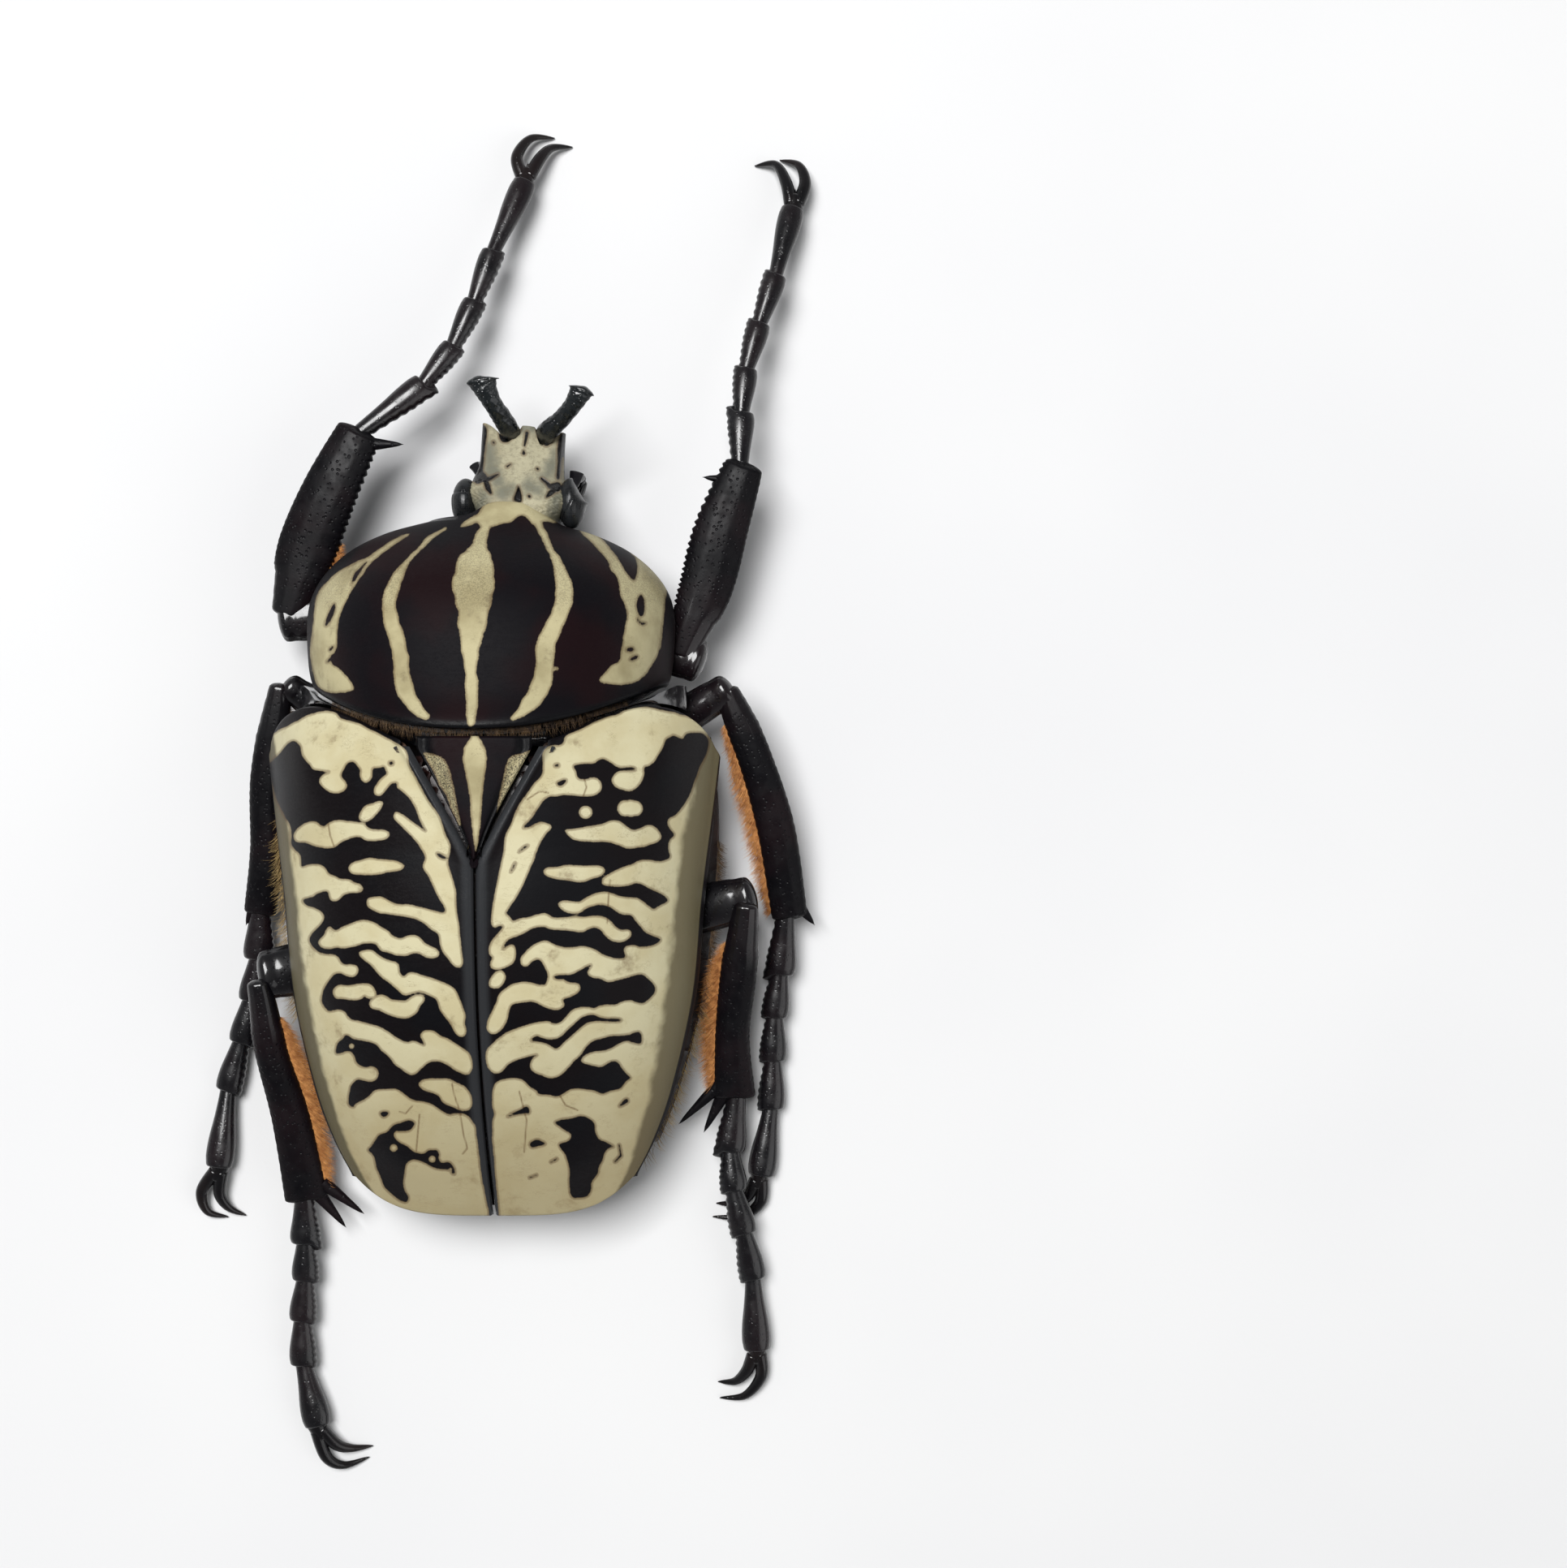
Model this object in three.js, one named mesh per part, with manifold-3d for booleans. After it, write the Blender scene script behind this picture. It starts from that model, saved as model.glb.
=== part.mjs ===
import * as THREE from 'three';
import { mergeVertices } from 'three/addons/utils/BufferGeometryUtils.js';
import Module from 'manifold-3d';

// Goliath beetle, a male, as a life-size still model
// Millimetres, +Z up, +Y towards the head. The origin is the middle of the flat
// under the thorax that the body rests on. The body's plane of symmetry is x = 0.

// Driving dimensions of the body
const ELYTRA_FRONT_Y = 12.1;
const ELYTRA_REAR_Y = -38.0;
const SHOULDER_Y = 11.5;
const SHOULDER_REACH = 4.9;
const REAR_CORNER_Y = -33.6;
const SUTURE_GAP = 0.3;
const SCUTELLUM_TIP_Y = 0.3;
const SCUTELLUM_HALF = 6.6;
const SHELL_THICKNESS = 1.0;
const BODY_DEPTH_UNDER_SHELL = 1.9;
const THORAX_REAR_Y = -12.8;
const PIECE_GAP = 0.35;
const PRONOTUM_REAR_Y = 13.9;
const PRONOTUM_FRONT_Y = 36.4;
const PRONOTUM_CORNER_Y = 19.2;
const HEAD_PLACE = [2.5, 36.9];
const HEAD_TURN = THREE.MathUtils.degToRad(-7);
const HEAD_LENGTH = 9.9;
const HORN_RADIUS = 1.05;
const EYE_RADII = [1.75, 2.6, 2.3];
const CLAW_RADIUS = 0.55;
const SIDE_TUCK = 0.21;
const MESOTHORAX_HALF = 20.6;

// Heights and half widths along the body, each as a few (y, value) stations
const profile = (stations) => {
  const curve = new THREE.SplineCurve(stations.map(([y, value]) => new THREE.Vector2(y, value)));
  const table = curve.getPoints(240);
  return (y) => {
    const after = table.findIndex((point) => point.x >= y);
    if (after === 0) return table[0].y;
    if (after < 0) return table[table.length - 1].y;
    const [low, high] = [table[after - 1], table[after]];
    return THREE.MathUtils.mapLinear(y, low.x, high.x, low.y, high.y);
  };
};

const elytraCrest = profile([
  [-38.2, 11.0], [-35, 13.6], [-30, 17.2], [-24, 20.9], [-15, 24.8], [-4, 26.8], [12.2, 27.2],
]);
const elytraHalfWidth = profile([
  [-33.7, 14.9], [-30, 16.9], [-24, 19.1], [-14, 21.4], [-4, 22.3], [4, 23.1], [11.6, 24.3],
]);
const elytraMarginZ = profile([[-33.7, 11.2], [-15, 10.4], [11.6, 10.6]]);
const pronotumCrest = profile([[13.8, 28.0], [18, 28.7], [24, 28.3], [29, 26.4], [33, 22.3], [36.5, 16.9]]);
const pronotumHalfWidth = profile([
  [19.1, 18.1], [22, 19.3], [26.5, 19.6], [30, 18.4], [33, 15.4], [35, 11.4], [36.1, 7.0],
]);
const pronotumMarginZ = profile([[19, 9.4], [30, 9.2], [36.1, 12.4]]);
const bellyZ = profile([[-37, 7.4], [-30, 3.6], [-20, 0.9], [-9, -0.9], [9, -0.9], [15, 1.8]]);
const sideBulge = profile([[-33.6, 0.2], [-10, 0.7], [0, 0.4], [6, -0.6], [11.6, -1.5]]);
const bellyKeel = profile([[-37, 1.0], [-20, 1.3], [-13.5, 3.0], [-9, 4.9], [15, 4.9]]);

const mix = THREE.MathUtils.lerp;
const clamp = THREE.MathUtils.clamp;

// A closed geometry with shared vertices, each moved by a function of its old place
const shaped = (geometry, place) => {
  geometry.deleteAttribute('normal');
  geometry.deleteAttribute('uv');
  const merged = mergeVertices(geometry, 1e-5);
  const position = merged.getAttribute('position');
  const old = new THREE.Vector3();
  for (let i = 0; i < position.count; i += 1) {
    old.fromBufferAttribute(position, i);
    position.setXYZ(i, ...place(old));
  }
  return facingOut(merged);
};

const signedVolume = (geometry) => {
  const position = geometry.getAttribute('position');
  const index = geometry.getIndex();
  const [a, b, c] = [new THREE.Vector3(), new THREE.Vector3(), new THREE.Vector3()];
  let volume = 0;
  for (let i = 0; i < index.count; i += 3) {
    a.fromBufferAttribute(position, index.getX(i));
    b.fromBufferAttribute(position, index.getX(i + 1));
    c.fromBufferAttribute(position, index.getX(i + 2));
    volume += a.dot(b.cross(c)) / 6;
  }
  return volume;
};

const facingOut = (geometry) => {
  if (signedVolume(geometry) > 0) return geometry;
  const index = geometry.getIndex();
  for (let i = 0; i < index.count; i += 3) {
    const first = index.getX(i);
    index.setX(i, index.getX(i + 2));
    index.setX(i + 2, first);
  }
  return geometry;
};

// A slab of columns and rows: u and v run 0 to 1 over it, w is 0 on top and 1 below
const slab = (columns, rows, place) => {
  const box = new THREE.BoxGeometry(1, 1, 1, columns, rows, 1);
  return shaped(box, (old) => place(old.x + 0.5, old.y + 0.5, 0.5 - old.z));
};

// A closed limb round a curve: width lies level across it, height is at right angles
const limb = (curve, sides, steps, section) => {
  const bar = new THREE.CylinderGeometry(1, 1, 1, sides, steps);
  return shaped(bar, (old) => {
    const t = old.y + 0.5;
    const centre = curve.getPoint(t);
    const along = curve.getTangent(t);
    const across = new THREE.Vector3(along.y, -along.x, 0).normalize();
    const over = across.clone().cross(along);
    const [halfWidth, halfHeight] = section(t);
    centre.addScaledVector(across, old.x * halfWidth);
    centre.addScaledVector(over, old.z * halfHeight);
    return [centre.x, centre.y, Math.max(centre.z, 0)];
  });
};

const route = (points) => new THREE.CatmullRomCurve3(points.map((point) => new THREE.Vector3(...point)));

// Solids joined and cut
const wasm = await Module();
wasm.setup();

const toSolid = (geometry) => new wasm.Manifold(new wasm.Mesh({
  numProp: 3,
  vertProperties: new Float32Array(geometry.getAttribute('position').array),
  triVerts: new Uint32Array(geometry.getIndex().array),
}));

const toGeometry = (solid) => {
  const mesh = solid.getMesh();
  const geometry = new THREE.BufferGeometry();
  geometry.setAttribute('position', new THREE.BufferAttribute(mesh.vertProperties, 3));
  geometry.setIndex(new THREE.BufferAttribute(mesh.triVerts, 1));
  return geometry;
};

const joined = (geometries) => toGeometry(geometries.map(toSolid).reduce((sum, solid) => sum.add(solid)));
const cutBy = (geometry, cutters) => toGeometry(
  cutters.map(toSolid).reduce((rest, solid) => rest.subtract(solid), toSolid(geometry)),
);

// Materials
const finish = (color, roughness) => new THREE.MeshStandardMaterial({ color, roughness, metalness: 0 });
const blackShell = finish(0x1b1518, 0.45);
const creamShell = finish(0xd8cda0, 0.55);
const glossBlack = finish(0x131316, 0.3);
const eyeBlack = finish(0x0c0d10, 0.2);

const beetle = new THREE.Group();
const add = (name, geometry, material) => {
  const mesh = new THREE.Mesh(geometry, material);
  mesh.name = name;
  beetle.add(mesh);
};

// Elytra: two arched wing cases that meet along the suture behind the scutellum.
// u runs from the inner edge to the outer margin, v from the base to the rear end.
const innerEdgeX = (y) => {
  const pastTip = clamp((y - SCUTELLUM_TIP_Y) / (ELYTRA_FRONT_Y - SCUTELLUM_TIP_Y), 0, 1);
  return SUTURE_GAP / 2 + SCUTELLUM_HALF * pastTip ** 1.15;
};

const elytronSurface = (u, v) => {
  const innerY = mix(ELYTRA_FRONT_Y, ELYTRA_REAR_Y, v);
  const outerY = mix(SHOULDER_Y, REAR_CORNER_Y, v);
  const shoulder = Math.pow(Math.max(Math.sin(Math.PI * Math.pow(u, 1.5)), 0), 0.65);
  const x = mix(innerEdgeX(innerY), elytraHalfWidth(outerY), u);
  const y = mix(innerY, outerY, u)
    + SHOULDER_REACH * shoulder * Math.pow(1 - v, 3)
    + (REAR_CORNER_Y - ELYTRA_REAR_Y) * (Math.pow(u, 4) - u) * Math.pow(v, 3);
  const arch = Math.pow(1 - Math.pow(u, 2.4), 0.55);
  const frontDroop = 3.2 * Math.pow(1 - v, 9) * shoulder;
  const z = mix(elytraMarginZ(outerY), elytraCrest(innerY), arch) - frontDroop;
  return new THREE.Vector3(x, y, z);
};

const elytronPoint = (u, v, depth) => {
  const step = 0.01;
  const [u0, u1] = [clamp(u - step, 0, 1 - step), clamp(u + step, step, 1)];
  const [v0, v1] = [clamp(v - step, 0, 1 - step), clamp(v + step, step, 1)];
  const alongU = elytronSurface(u1, v).sub(elytronSurface(u0, v));
  const alongV = elytronSurface(u, v1).sub(elytronSurface(u, v0));
  const inward = alongU.cross(alongV).normalize();
  return elytronSurface(u, v).addScaledVector(inward, depth);
};

const towardsMargin = (s) => 1 - Math.pow(1 - s, 1.8);

const elytron = (side) => slab(9, 13, (u, v, w) => {
  const point = elytronPoint(towardsMargin(u), v, w * SHELL_THICKNESS);
  return [side * Math.max(point.x, SUTURE_GAP / 2), point.y, point.z];
});

// Thorax and abdomen: the soft body that the wing cases cover, flat where it rests
const bodyRow = (v, across) => {
  const x = Math.abs(across);
  const innerX = innerEdgeX(mix(ELYTRA_FRONT_Y, ELYTRA_REAR_Y, v));
  const outerX = elytraHalfWidth(mix(SHOULDER_Y, REAR_CORNER_Y, v));
  const u = clamp((x * outerX - innerX) / (outerX - innerX), 0, 1);
  const top = elytronPoint(u, v, BODY_DEPTH_UNDER_SHELL);
  if (u === 0) top.x = x * outerX;
  return [Math.sign(across) * top.x, top.y, top.z];
};

const bellyRow = (v, across) => {
  const y = bodyRow(v, across)[1];
  const outerY = mix(SHOULDER_Y, REAR_CORNER_Y, v);
  const bulge = elytraHalfWidth(outerY) + sideBulge(outerY);
  const turn = Math.abs(across) * (Math.PI / 2 + SIDE_TUCK);
  const sideZ = elytraMarginZ(outerY) - 3.6;
  const drop = Math.pow(Math.max(Math.cos(turn), 0), bellyKeel(y));
  const pastSide = Math.max(-Math.cos(turn), 0) / SIDE_TUCK;
  const x = bulge * Math.sin(turn) - 1.6 * pastSide;
  const z = mix(sideZ, Math.min(bellyZ(y), sideZ), drop) + 1.9 * pastSide;
  return [Math.sign(across) * x, y, Math.max(z, 0)];
};

const trunk = (frontV, rearV, rows) => slab(13, rows, (u, v, w) => {
  const s = 2 * u - 1;
  const across = Math.sign(s) * (1 - Math.pow(1 - Math.abs(s), 1.5));
  const along = mix(frontV, rearV, v);
  return w < 0.5 ? bodyRow(along, across) : bellyRow(along, across);
});

const parting = (ELYTRA_FRONT_Y - THORAX_REAR_Y) / (ELYTRA_FRONT_Y - ELYTRA_REAR_Y);
const thoraxBlank = trunk(0.04, parting - 0.004, 5);
const abdomenBlank = trunk(parting + 0.004, 0.9, 6);

// Pygidium: the last plate, closing the abdomen under the rear of the wing cases
const pygidium = slab(6, 3, (u, v, w) => {
  const across = 2 * u - 1;
  const halfWidth = 9.5 * Math.sqrt(1 - 0.75 * v * v);
  const bow = 1.6 * (1 - across * across);
  return [across * halfWidth, -35.3 - bow + 2.4 * v + (w > 0.5 ? 1.3 : 0), mix(9.9, 4.1, v) - 0.4 * w];
});

// Scutellum: the long keeled triangle between the wing cases
const scutellum = slab(4, 6, (u, v, w) => {
  const across = 2 * u - 1;
  const y = mix(13.3, 0.9, v);
  const halfWidth = Math.max(0.9 * innerEdgeX(Math.min(y, ELYTRA_FRONT_Y)) - PIECE_GAP, 0.28);
  return [across * halfWidth, y, elytraCrest(y) + 0.35 * (1 - across * across) - 1.2 * w];
});

// Mesothorax: the glossy collar between the pronotum and the wing cases
const pronotumRearY = (across) => {
  const outline = Math.min(Math.abs(across), 1.05) ** 2.2;
  return mix(PRONOTUM_REAR_Y, PRONOTUM_CORNER_Y, outline);
};

const mesothorax = slab(16, 1, (u, v, w) => {
  const across = 2 * u - 1;
  const x = Math.abs(across) * MESOTHORAX_HALF;
  const [innerX, outerX] = [innerEdgeX(ELYTRA_FRONT_Y), elytraHalfWidth(SHOULDER_Y)];
  const baseU = clamp((x - innerX) / (outerX - innerX), 0, 1);
  const base = elytronSurface(baseU, 0);
  const front = pronotumRearY(x / pronotumHalfWidth(PRONOTUM_CORNER_Y)) - PIECE_GAP;
  const ceiling = Math.min(base.z - 0.6, mix(22.5, 26, baseU * 2)) - 5 * Math.abs(across) ** 8;
  const floor = 3.6 + 4.6 * across * across;
  return [Math.sign(across) * x, mix(base.y + PIECE_GAP, front, v), w < 0.5 ? ceiling : floor];
});

// Pronotum: the broad domed shield, and the prosternum below it
const pronotumPlan = (across, v) => {
  const innerY = mix(PRONOTUM_REAR_Y, PRONOTUM_FRONT_Y, v);
  const outerY = mix(PRONOTUM_CORNER_Y, PRONOTUM_FRONT_Y - 0.4, v);
  const outline = Math.abs(across) ** 2.2;
  return { x: across * pronotumHalfWidth(outerY), y: mix(innerY, outerY, outline), innerY, outerY };
};

const spreadOut = (u) => {
  const s = 2 * u - 1;
  return Math.sign(s) * (1 - Math.pow(1 - Math.abs(s), 1.6));
};

const pronotumBlank = slab(12, 8, (u, v, w) => {
  const across = spreadOut(u);
  const plan = pronotumPlan(across, v);
  const marginZ = pronotumMarginZ(plan.outerY);
  const arch = Math.pow(1 - Math.abs(across) ** 2.5, 0.55);
  const top = mix(marginZ, pronotumCrest(plan.innerY), arch);
  return [plan.x, plan.y, w < 0.5 ? top : marginZ - 0.7];
});

const prosternumBlank = slab(8, 5, (u, v, w) => {
  const across = 2 * u - 1;
  const plan = pronotumPlan(across, v);
  const marginZ = pronotumMarginZ(plan.outerY) - 0.7 - PIECE_GAP;
  const rise = Math.pow(Math.abs(across), 2.2);
  const bottom = mix(mix(2.2, 5.2, v), marginZ - 0.9, rise);
  return [plan.x * (w < 0.5 ? 0.965 : 0.94), plan.y + (1 - v) * 0.4, w < 0.5 ? marginZ : bottom];
});

// Head: turned a little to the right, built in its own frame and then placed
const headFrame = new THREE.Matrix4().makeTranslation(...HEAD_PLACE, 0);
headFrame.multiply(new THREE.Matrix4().makeRotationZ(HEAD_TURN));
const onHead = (x, y, z) => new THREE.Vector3(x, y, z).applyMatrix4(headFrame);

const headHalfWidth = profile([[0, 4.3], [2, 5.6], [3.6, 5.3], [5.2, 4.5], [8, 4.35], [9.9, 4.6]]);
const headTop = profile([[0, 16.6], [2, 16.2], [5, 13.6], [8, 11.8], [9.9, 10.6]]);
const headUnder = profile([[0, 5.2], [3, 4.6], [6, 5.6], [8, 7.6], [9.9, 8.9]]);

const headBlank = slab(8, 8, (u, v, w) => {
  const across = 2 * u - 1;
  const notch = 2.2 * v ** 6 * Math.pow(Math.sin(Math.PI * u), 2) * (Math.abs(across) > 0.35 ? 1 : 0.35);
  const y = v * HEAD_LENGTH - notch;
  const arch = Math.pow(1 - across ** 4, 0.5);
  const middle = mix(headTop(y), headUnder(y), 0.42);
  const z = w < 0.5 ? mix(middle, headTop(y), arch) : mix(middle - 0.3, headUnder(y), arch);
  return onHead(across * headHalfWidth(y), y, z).toArray();
});

// Horn: two flattened arms that fork from the front of the head and end squarely
const hornArm = (side, swell) => {
  const curve = new THREE.QuadraticBezierCurve3(
    onHead(side * 0.2, 8.9, 12.0),
    onHead(side * 3.1, 10.6, 12.8),
    onHead(side * 5.35, 14.4, 15.2),
  );
  return limb(curve, 7, 5, (t) => [
    HORN_RADIUS + swell + 0.75 * t ** 3,
    HORN_RADIUS - 0.15 + swell - 0.1 * t,
  ]);
};
const horn = (swell) => joined([hornArm(-1, swell), hornArm(1, swell)]);

// Eyes: set into the sides of the head
const eye = (side, swell) => {
  const centre = onHead(side * 5.55, 2.3, 11.9);
  return shaped(new THREE.SphereGeometry(1, 10, 6), (old) => [
    centre.x + old.x * (EYE_RADII[0] + swell),
    centre.y + old.y * (EYE_RADII[1] + swell),
    centre.z + old.z * (EYE_RADII[2] + swell),
  ]);
};

// Antennae: a stout scape in front of the eye and a club folded under the head
const antenna = (side, swell) => {
  const place = (x, y, z) => onHead(side * x, y, z).toArray();
  const scape = limb(route([place(4.3, 5.4, 7.9), place(5.2, 6.3, 7.6), place(6.1, 7.0, 7.0)]), 6, 2,
    (t) => [0.55 + swell + 0.35 * t, 0.6 + swell]);
  const stalk = limb(route([place(5.9, 6.9, 7.0), place(5.9, 6.5, 5.2), place(5.3, 5.2, 3.7)]), 5, 3,
    () => [0.42 + swell, 0.42 + swell]);
  const club = limb(route([place(5.5, 5.6, 3.8), place(4.9, 3.8, 3.2), place(4.3, 1.9, 3.0)]), 6, 4,
    (t) => [0.5 + swell + 0.5 * Math.sin(Math.PI * t), 0.55 + swell + 0.4 * Math.sin(Math.PI * t)]);
  return joined([scape, stalk, club]);
};

// Mouthparts: the chin plate with two palps, below the front of the head
const mouthparts = () => {
  const chin = slab(4, 3, (u, v, w) => {
    const across = 2 * u - 1;
    const halfWidth = 2.5 * Math.sqrt(1 - 0.6 * (2 * v - 1) ** 2);
    const y = mix(4.0, 8.4, v);
    const under = headUnder(y) - PIECE_GAP;
    return onHead(across * halfWidth, y, w < 0.5 ? under : under - 1.1 - 0.3 * (1 - across ** 2)).toArray();
  });
  const palps = [-1, 1].map((side) => limb(route([
    onHead(side * 1.8, 6.8, 5.2).toArray(),
    onHead(side * 2.5, 8.6, 5.3).toArray(),
    onHead(side * 2.2, 10.2, 5.2).toArray(),
  ]), 5, 2, (t) => [0.4 - 0.1 * t, 0.4 - 0.1 * t]));
  return joined([chin, ...palps]);
};

// Legs: where each one's joints lie. The tibia has its half widths along it.
const legs = {
  front_left: {
    side: -1,
    hip: [-5.5, 28.5, 4.6],
    knee: [-23.2, 26.6, 7.3],
    femurHalf: 3.0,
    tibia: [[-22.0, 29.9, 8.2], [-20.6, 34, 8.6], [-18.0, 40, 9.4], [-15.0, 46.0, 9.6]],
    tibiaHalf: [2.3, 3.3, 3.1, 2.3],
    spurs: [[[-14.0, 45.2, 9.6], [-10.2, 45.1, 10.0]]],
    tarsus: [
      [-13.7, 47.4, 9], [-8.2, 51.8, 8], [-5.1, 56.1, 7],
      [-2.9, 61.2, 6], [-1.0, 66.9, 5], [2.3, 75.2, 3],
    ],
    claws: [
      [[2.0, 75.9, 2.9], [1.4, 78.2, 2.5], [2.8, 80.5, 1.5], [5.2, 80.9, 0.15]],
      [[2.8, 75.9, 2.9], [4.0, 78.2, 2.2], [5.2, 79.5, 1.4], [7.2, 79.9, 0.15]],
    ],
  },
  front_right: {
    side: 1,
    hip: [6.5, 27.5, 4.6],
    knee: [21.6, 21.9, 7.3],
    femurHalf: 2.7,
    tibia: [[20.9, 25.6, 8.2], [22.6, 30, 8.6], [24.2, 36, 9.2], [26.5, 42.4, 9.6]],
    tibiaHalf: [2.1, 2.9, 3.0, 2.1],
    spurs: [[[26.0, 41.2, 9.4], [22.5, 41.6, 9.6]]],
    tarsus: [
      [26.3, 43.8, 9], [26.4, 48.6, 8], [26.9, 53.6, 7],
      [28.3, 58.8, 6], [30.1, 64.3, 5], [32.0, 72.2, 3],
    ],
    claws: [
      [[31.8, 72.9, 2.9], [31.3, 75.3, 2.5], [30.1, 77.6, 1.5], [27.9, 77.8, 0.15]],
      [[32.6, 72.9, 2.9], [33.4, 75.3, 2.3], [32.7, 77.5, 1.5], [30.7, 78.4, 0.15]],
    ],
  },
  mid_left: {
    side: -1,
    hip: [-6.3, 7.5, 2.0],
    knee: [-22.4, 18.9, 8.8],
    femurHalf: 2.5,
    tibia: [[-24.1, 16.2, 8.8], [-25.2, 9, 7.4], [-25.6, 1.4, 5.8], [-26.7, -5.2, 4.2]],
    tibiaHalf: [1.4, 1.8, 1.8, 1.7],
    spurs: [[[-27.2, -4.2, 4.4], [-28.3, -6.9, 4.0]]],
    tarsus: [
      [-26.8, -6.0, 4], [-27.2, -10.7, 3.2], [-28.1, -15.4, 2.6],
      [-29.3, -20.1, 2.1], [-30.9, -25.5, 1.7], [-31.9, -34.0, 1.9],
    ],
    claws: [
      [[-32.3, -34.6, 1.9], [-33.9, -37.0, 1.5], [-33.4, -39.3, 0.9], [-31.4, -40.0, 0.15]],
      [[-31.6, -34.7, 1.9], [-31.9, -37.2, 1.5], [-31.0, -38.9, 0.9], [-29.4, -39.8, 0.15]],
    ],
  },
  mid_right: {
    side: 1,
    hip: [6.3, 7.5, 2.0],
    knee: [24.3, 18.9, 9.3],
    femurHalf: 2.5,
    tibia: [[26.4, 15.9, 9.2], [27.6, 11, 8.2], [29.8, 3.5, 6.6], [31.2, -5.6, 4.4]],
    tibiaHalf: [1.4, 1.8, 2.0, 1.8],
    spurs: [[[32.4, -4.6, 4.4], [34.3, -6.9, 4.0]]],
    tarsus: [
      [31.1, -7.2, 4], [30.6, -12.4, 3.2], [30.0, -17.2, 2.6],
      [29.8, -22.1, 2.1], [29.6, -27.5, 1.7], [28.5, -35.0, 1.5],
    ],
    claws: [
      [[28.6, -35.6, 1.4], [28.4, -38.2, 1.1], [26.3, -39.9, 0.7], [23.2, -40.0, 0.15]],
      [[27.9, -35.7, 1.4], [26.9, -37.6, 1.1], [25.4, -38.4, 0.7], [23.6, -38.5, 0.15]],
    ],
  },
  hind_left: {
    side: -1,
    hip: [-6.3, -8.6, 2.0],
    knee: [-25.0, -12.2, 8.9],
    femurHalf: 3.3,
    tibia: [[-25.2, -16.3, 9.0], [-24.6, -21, 7.8], [-23.0, -28, 6.0], [-21.8, -36.8, 3.9]],
    tibiaHalf: [1.5, 1.7, 2.1, 2.4],
    spurs: [[[-19.8, -35.6, 4.0], [-15.6, -38.9, 3.6]], [[-20.4, -36.8, 3.8], [-17.6, -40.4, 3.4]]],
    tarsus: [
      [-22.0, -38.4, 3.6], [-22.0, -42.2, 3.1], [-22.1, -46.4, 2.7],
      [-22.5, -51.0, 2.3], [-22.5, -56.0, 1.9], [-20.9, -62.8, 1.9],
    ],
    claws: [
      [[-20.5, -63.4, 1.8], [-18.9, -65.2, 1.4], [-17.3, -65.8, 0.8], [-15.2, -65.7, 0.15]],
      [[-21.0, -63.6, 1.8], [-20.0, -66.6, 1.4], [-18.2, -67.7, 0.8], [-15.6, -67.0, 0.15]],
    ],
  },
  hind_right: {
    side: 1,
    hip: [6.3, -8.6, 2.0],
    knee: [27.2, -3.9, 9.2],
    femurHalf: 3.0,
    tibia: [[26.6, -7.9, 9.6], [26.0, -13, 8.2], [25.4, -19, 6.4], [25.6, -25.4, 4.5]],
    tibiaHalf: [1.7, 2.0, 1.9, 2.3],
    spurs: [[[24.0, -24.6, 4.6], [19.6, -28.9, 4.0]], [[24.4, -25.6, 4.4], [22.3, -29.8, 3.8]]],
    tarsus: [
      [25.7, -27.0, 4.2], [25.1, -31.9, 3.8], [25.5, -36.3, 3.7],
      [26.6, -41.1, 3.4], [27.6, -46.3, 2.4], [28.0, -54.4, 1.8],
    ],
    claws: [
      [[28.4, -55.0, 1.7], [28.5, -57.6, 1.3], [26.7, -59.9, 0.8], [24.0, -60.3, 0.15]],
      [[27.6, -55.2, 1.7], [26.9, -57.0, 1.3], [25.6, -58.3, 0.8], [23.8, -58.5, 0.15]],
    ],
  },
};

const spline = (points) => new THREE.SplineCurve(points.map((value, i) => new THREE.Vector2(i, value)));

// Coxa: the short thick joint piece set into the underside
const coxa = (leg, swell) => {
  const [x, y, z] = leg.hip;
  const inner = [x - leg.side * (3.2 + swell), y + 0.6, z - 0.5];
  const outer = [x + leg.side * (0.9 + swell), y, z + 0.3];
  const section = (t) => [1.7 + swell + 0.5 * Math.sin(Math.PI * t), 1.5 + swell];
  return limb(route([inner, [x, y, z], outer]), 6, 2, section);
};

// Femur: a flattened club from the hip out to the knee
const femur = (leg, swell) => {
  const hip = new THREE.Vector3(...leg.hip);
  const knee = new THREE.Vector3(...leg.knee);
  const out = knee.clone().sub(hip).normalize();
  const start = hip.clone().addScaledVector(out, 1.5 - swell);
  const end = knee.clone().addScaledVector(out, swell);
  const middle = start.clone().lerp(end, 0.5);
  middle.z += 0.5;
  const curve = new THREE.QuadraticBezierCurve3(start, middle, end);
  return limb(curve, 6, 4, (t) => {
    const belly = t > 0.99 ? 0.62 : 0.62 + 0.38 * Math.sin(Math.PI * Math.min(t, 0.75) / 1.2);
    return [leg.femurHalf * belly + swell, 1.75 * belly + swell];
  });
};

// Tibia: widening to a toothed end, with the long spurs that grow from it
const tibia = (leg) => {
  const curve = route(leg.tibia);
  const halves = spline(leg.tibiaHalf);
  const shaft = limb(curve, 8, 7, (t) => {
    const half = halves.getPoint(t).y * (0.62 + 0.38 * Math.min(1, t * 6)) * (t > 0.97 ? 0.8 : 1);
    return [half, 1.15 + 0.15 * Math.sin(Math.PI * t)];
  });
  const spurs = leg.spurs.map(([from, to]) => {
    const middle = [0, 1, 2].map((i) => (from[i] + to[i]) / 2);
    return limb(route([from, middle, to]), 5, 2, (t) => [0.55 - 0.3 * t, 0.5 - 0.22 * t]);
  });
  return joined([shaft, ...spurs]);
};

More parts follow.
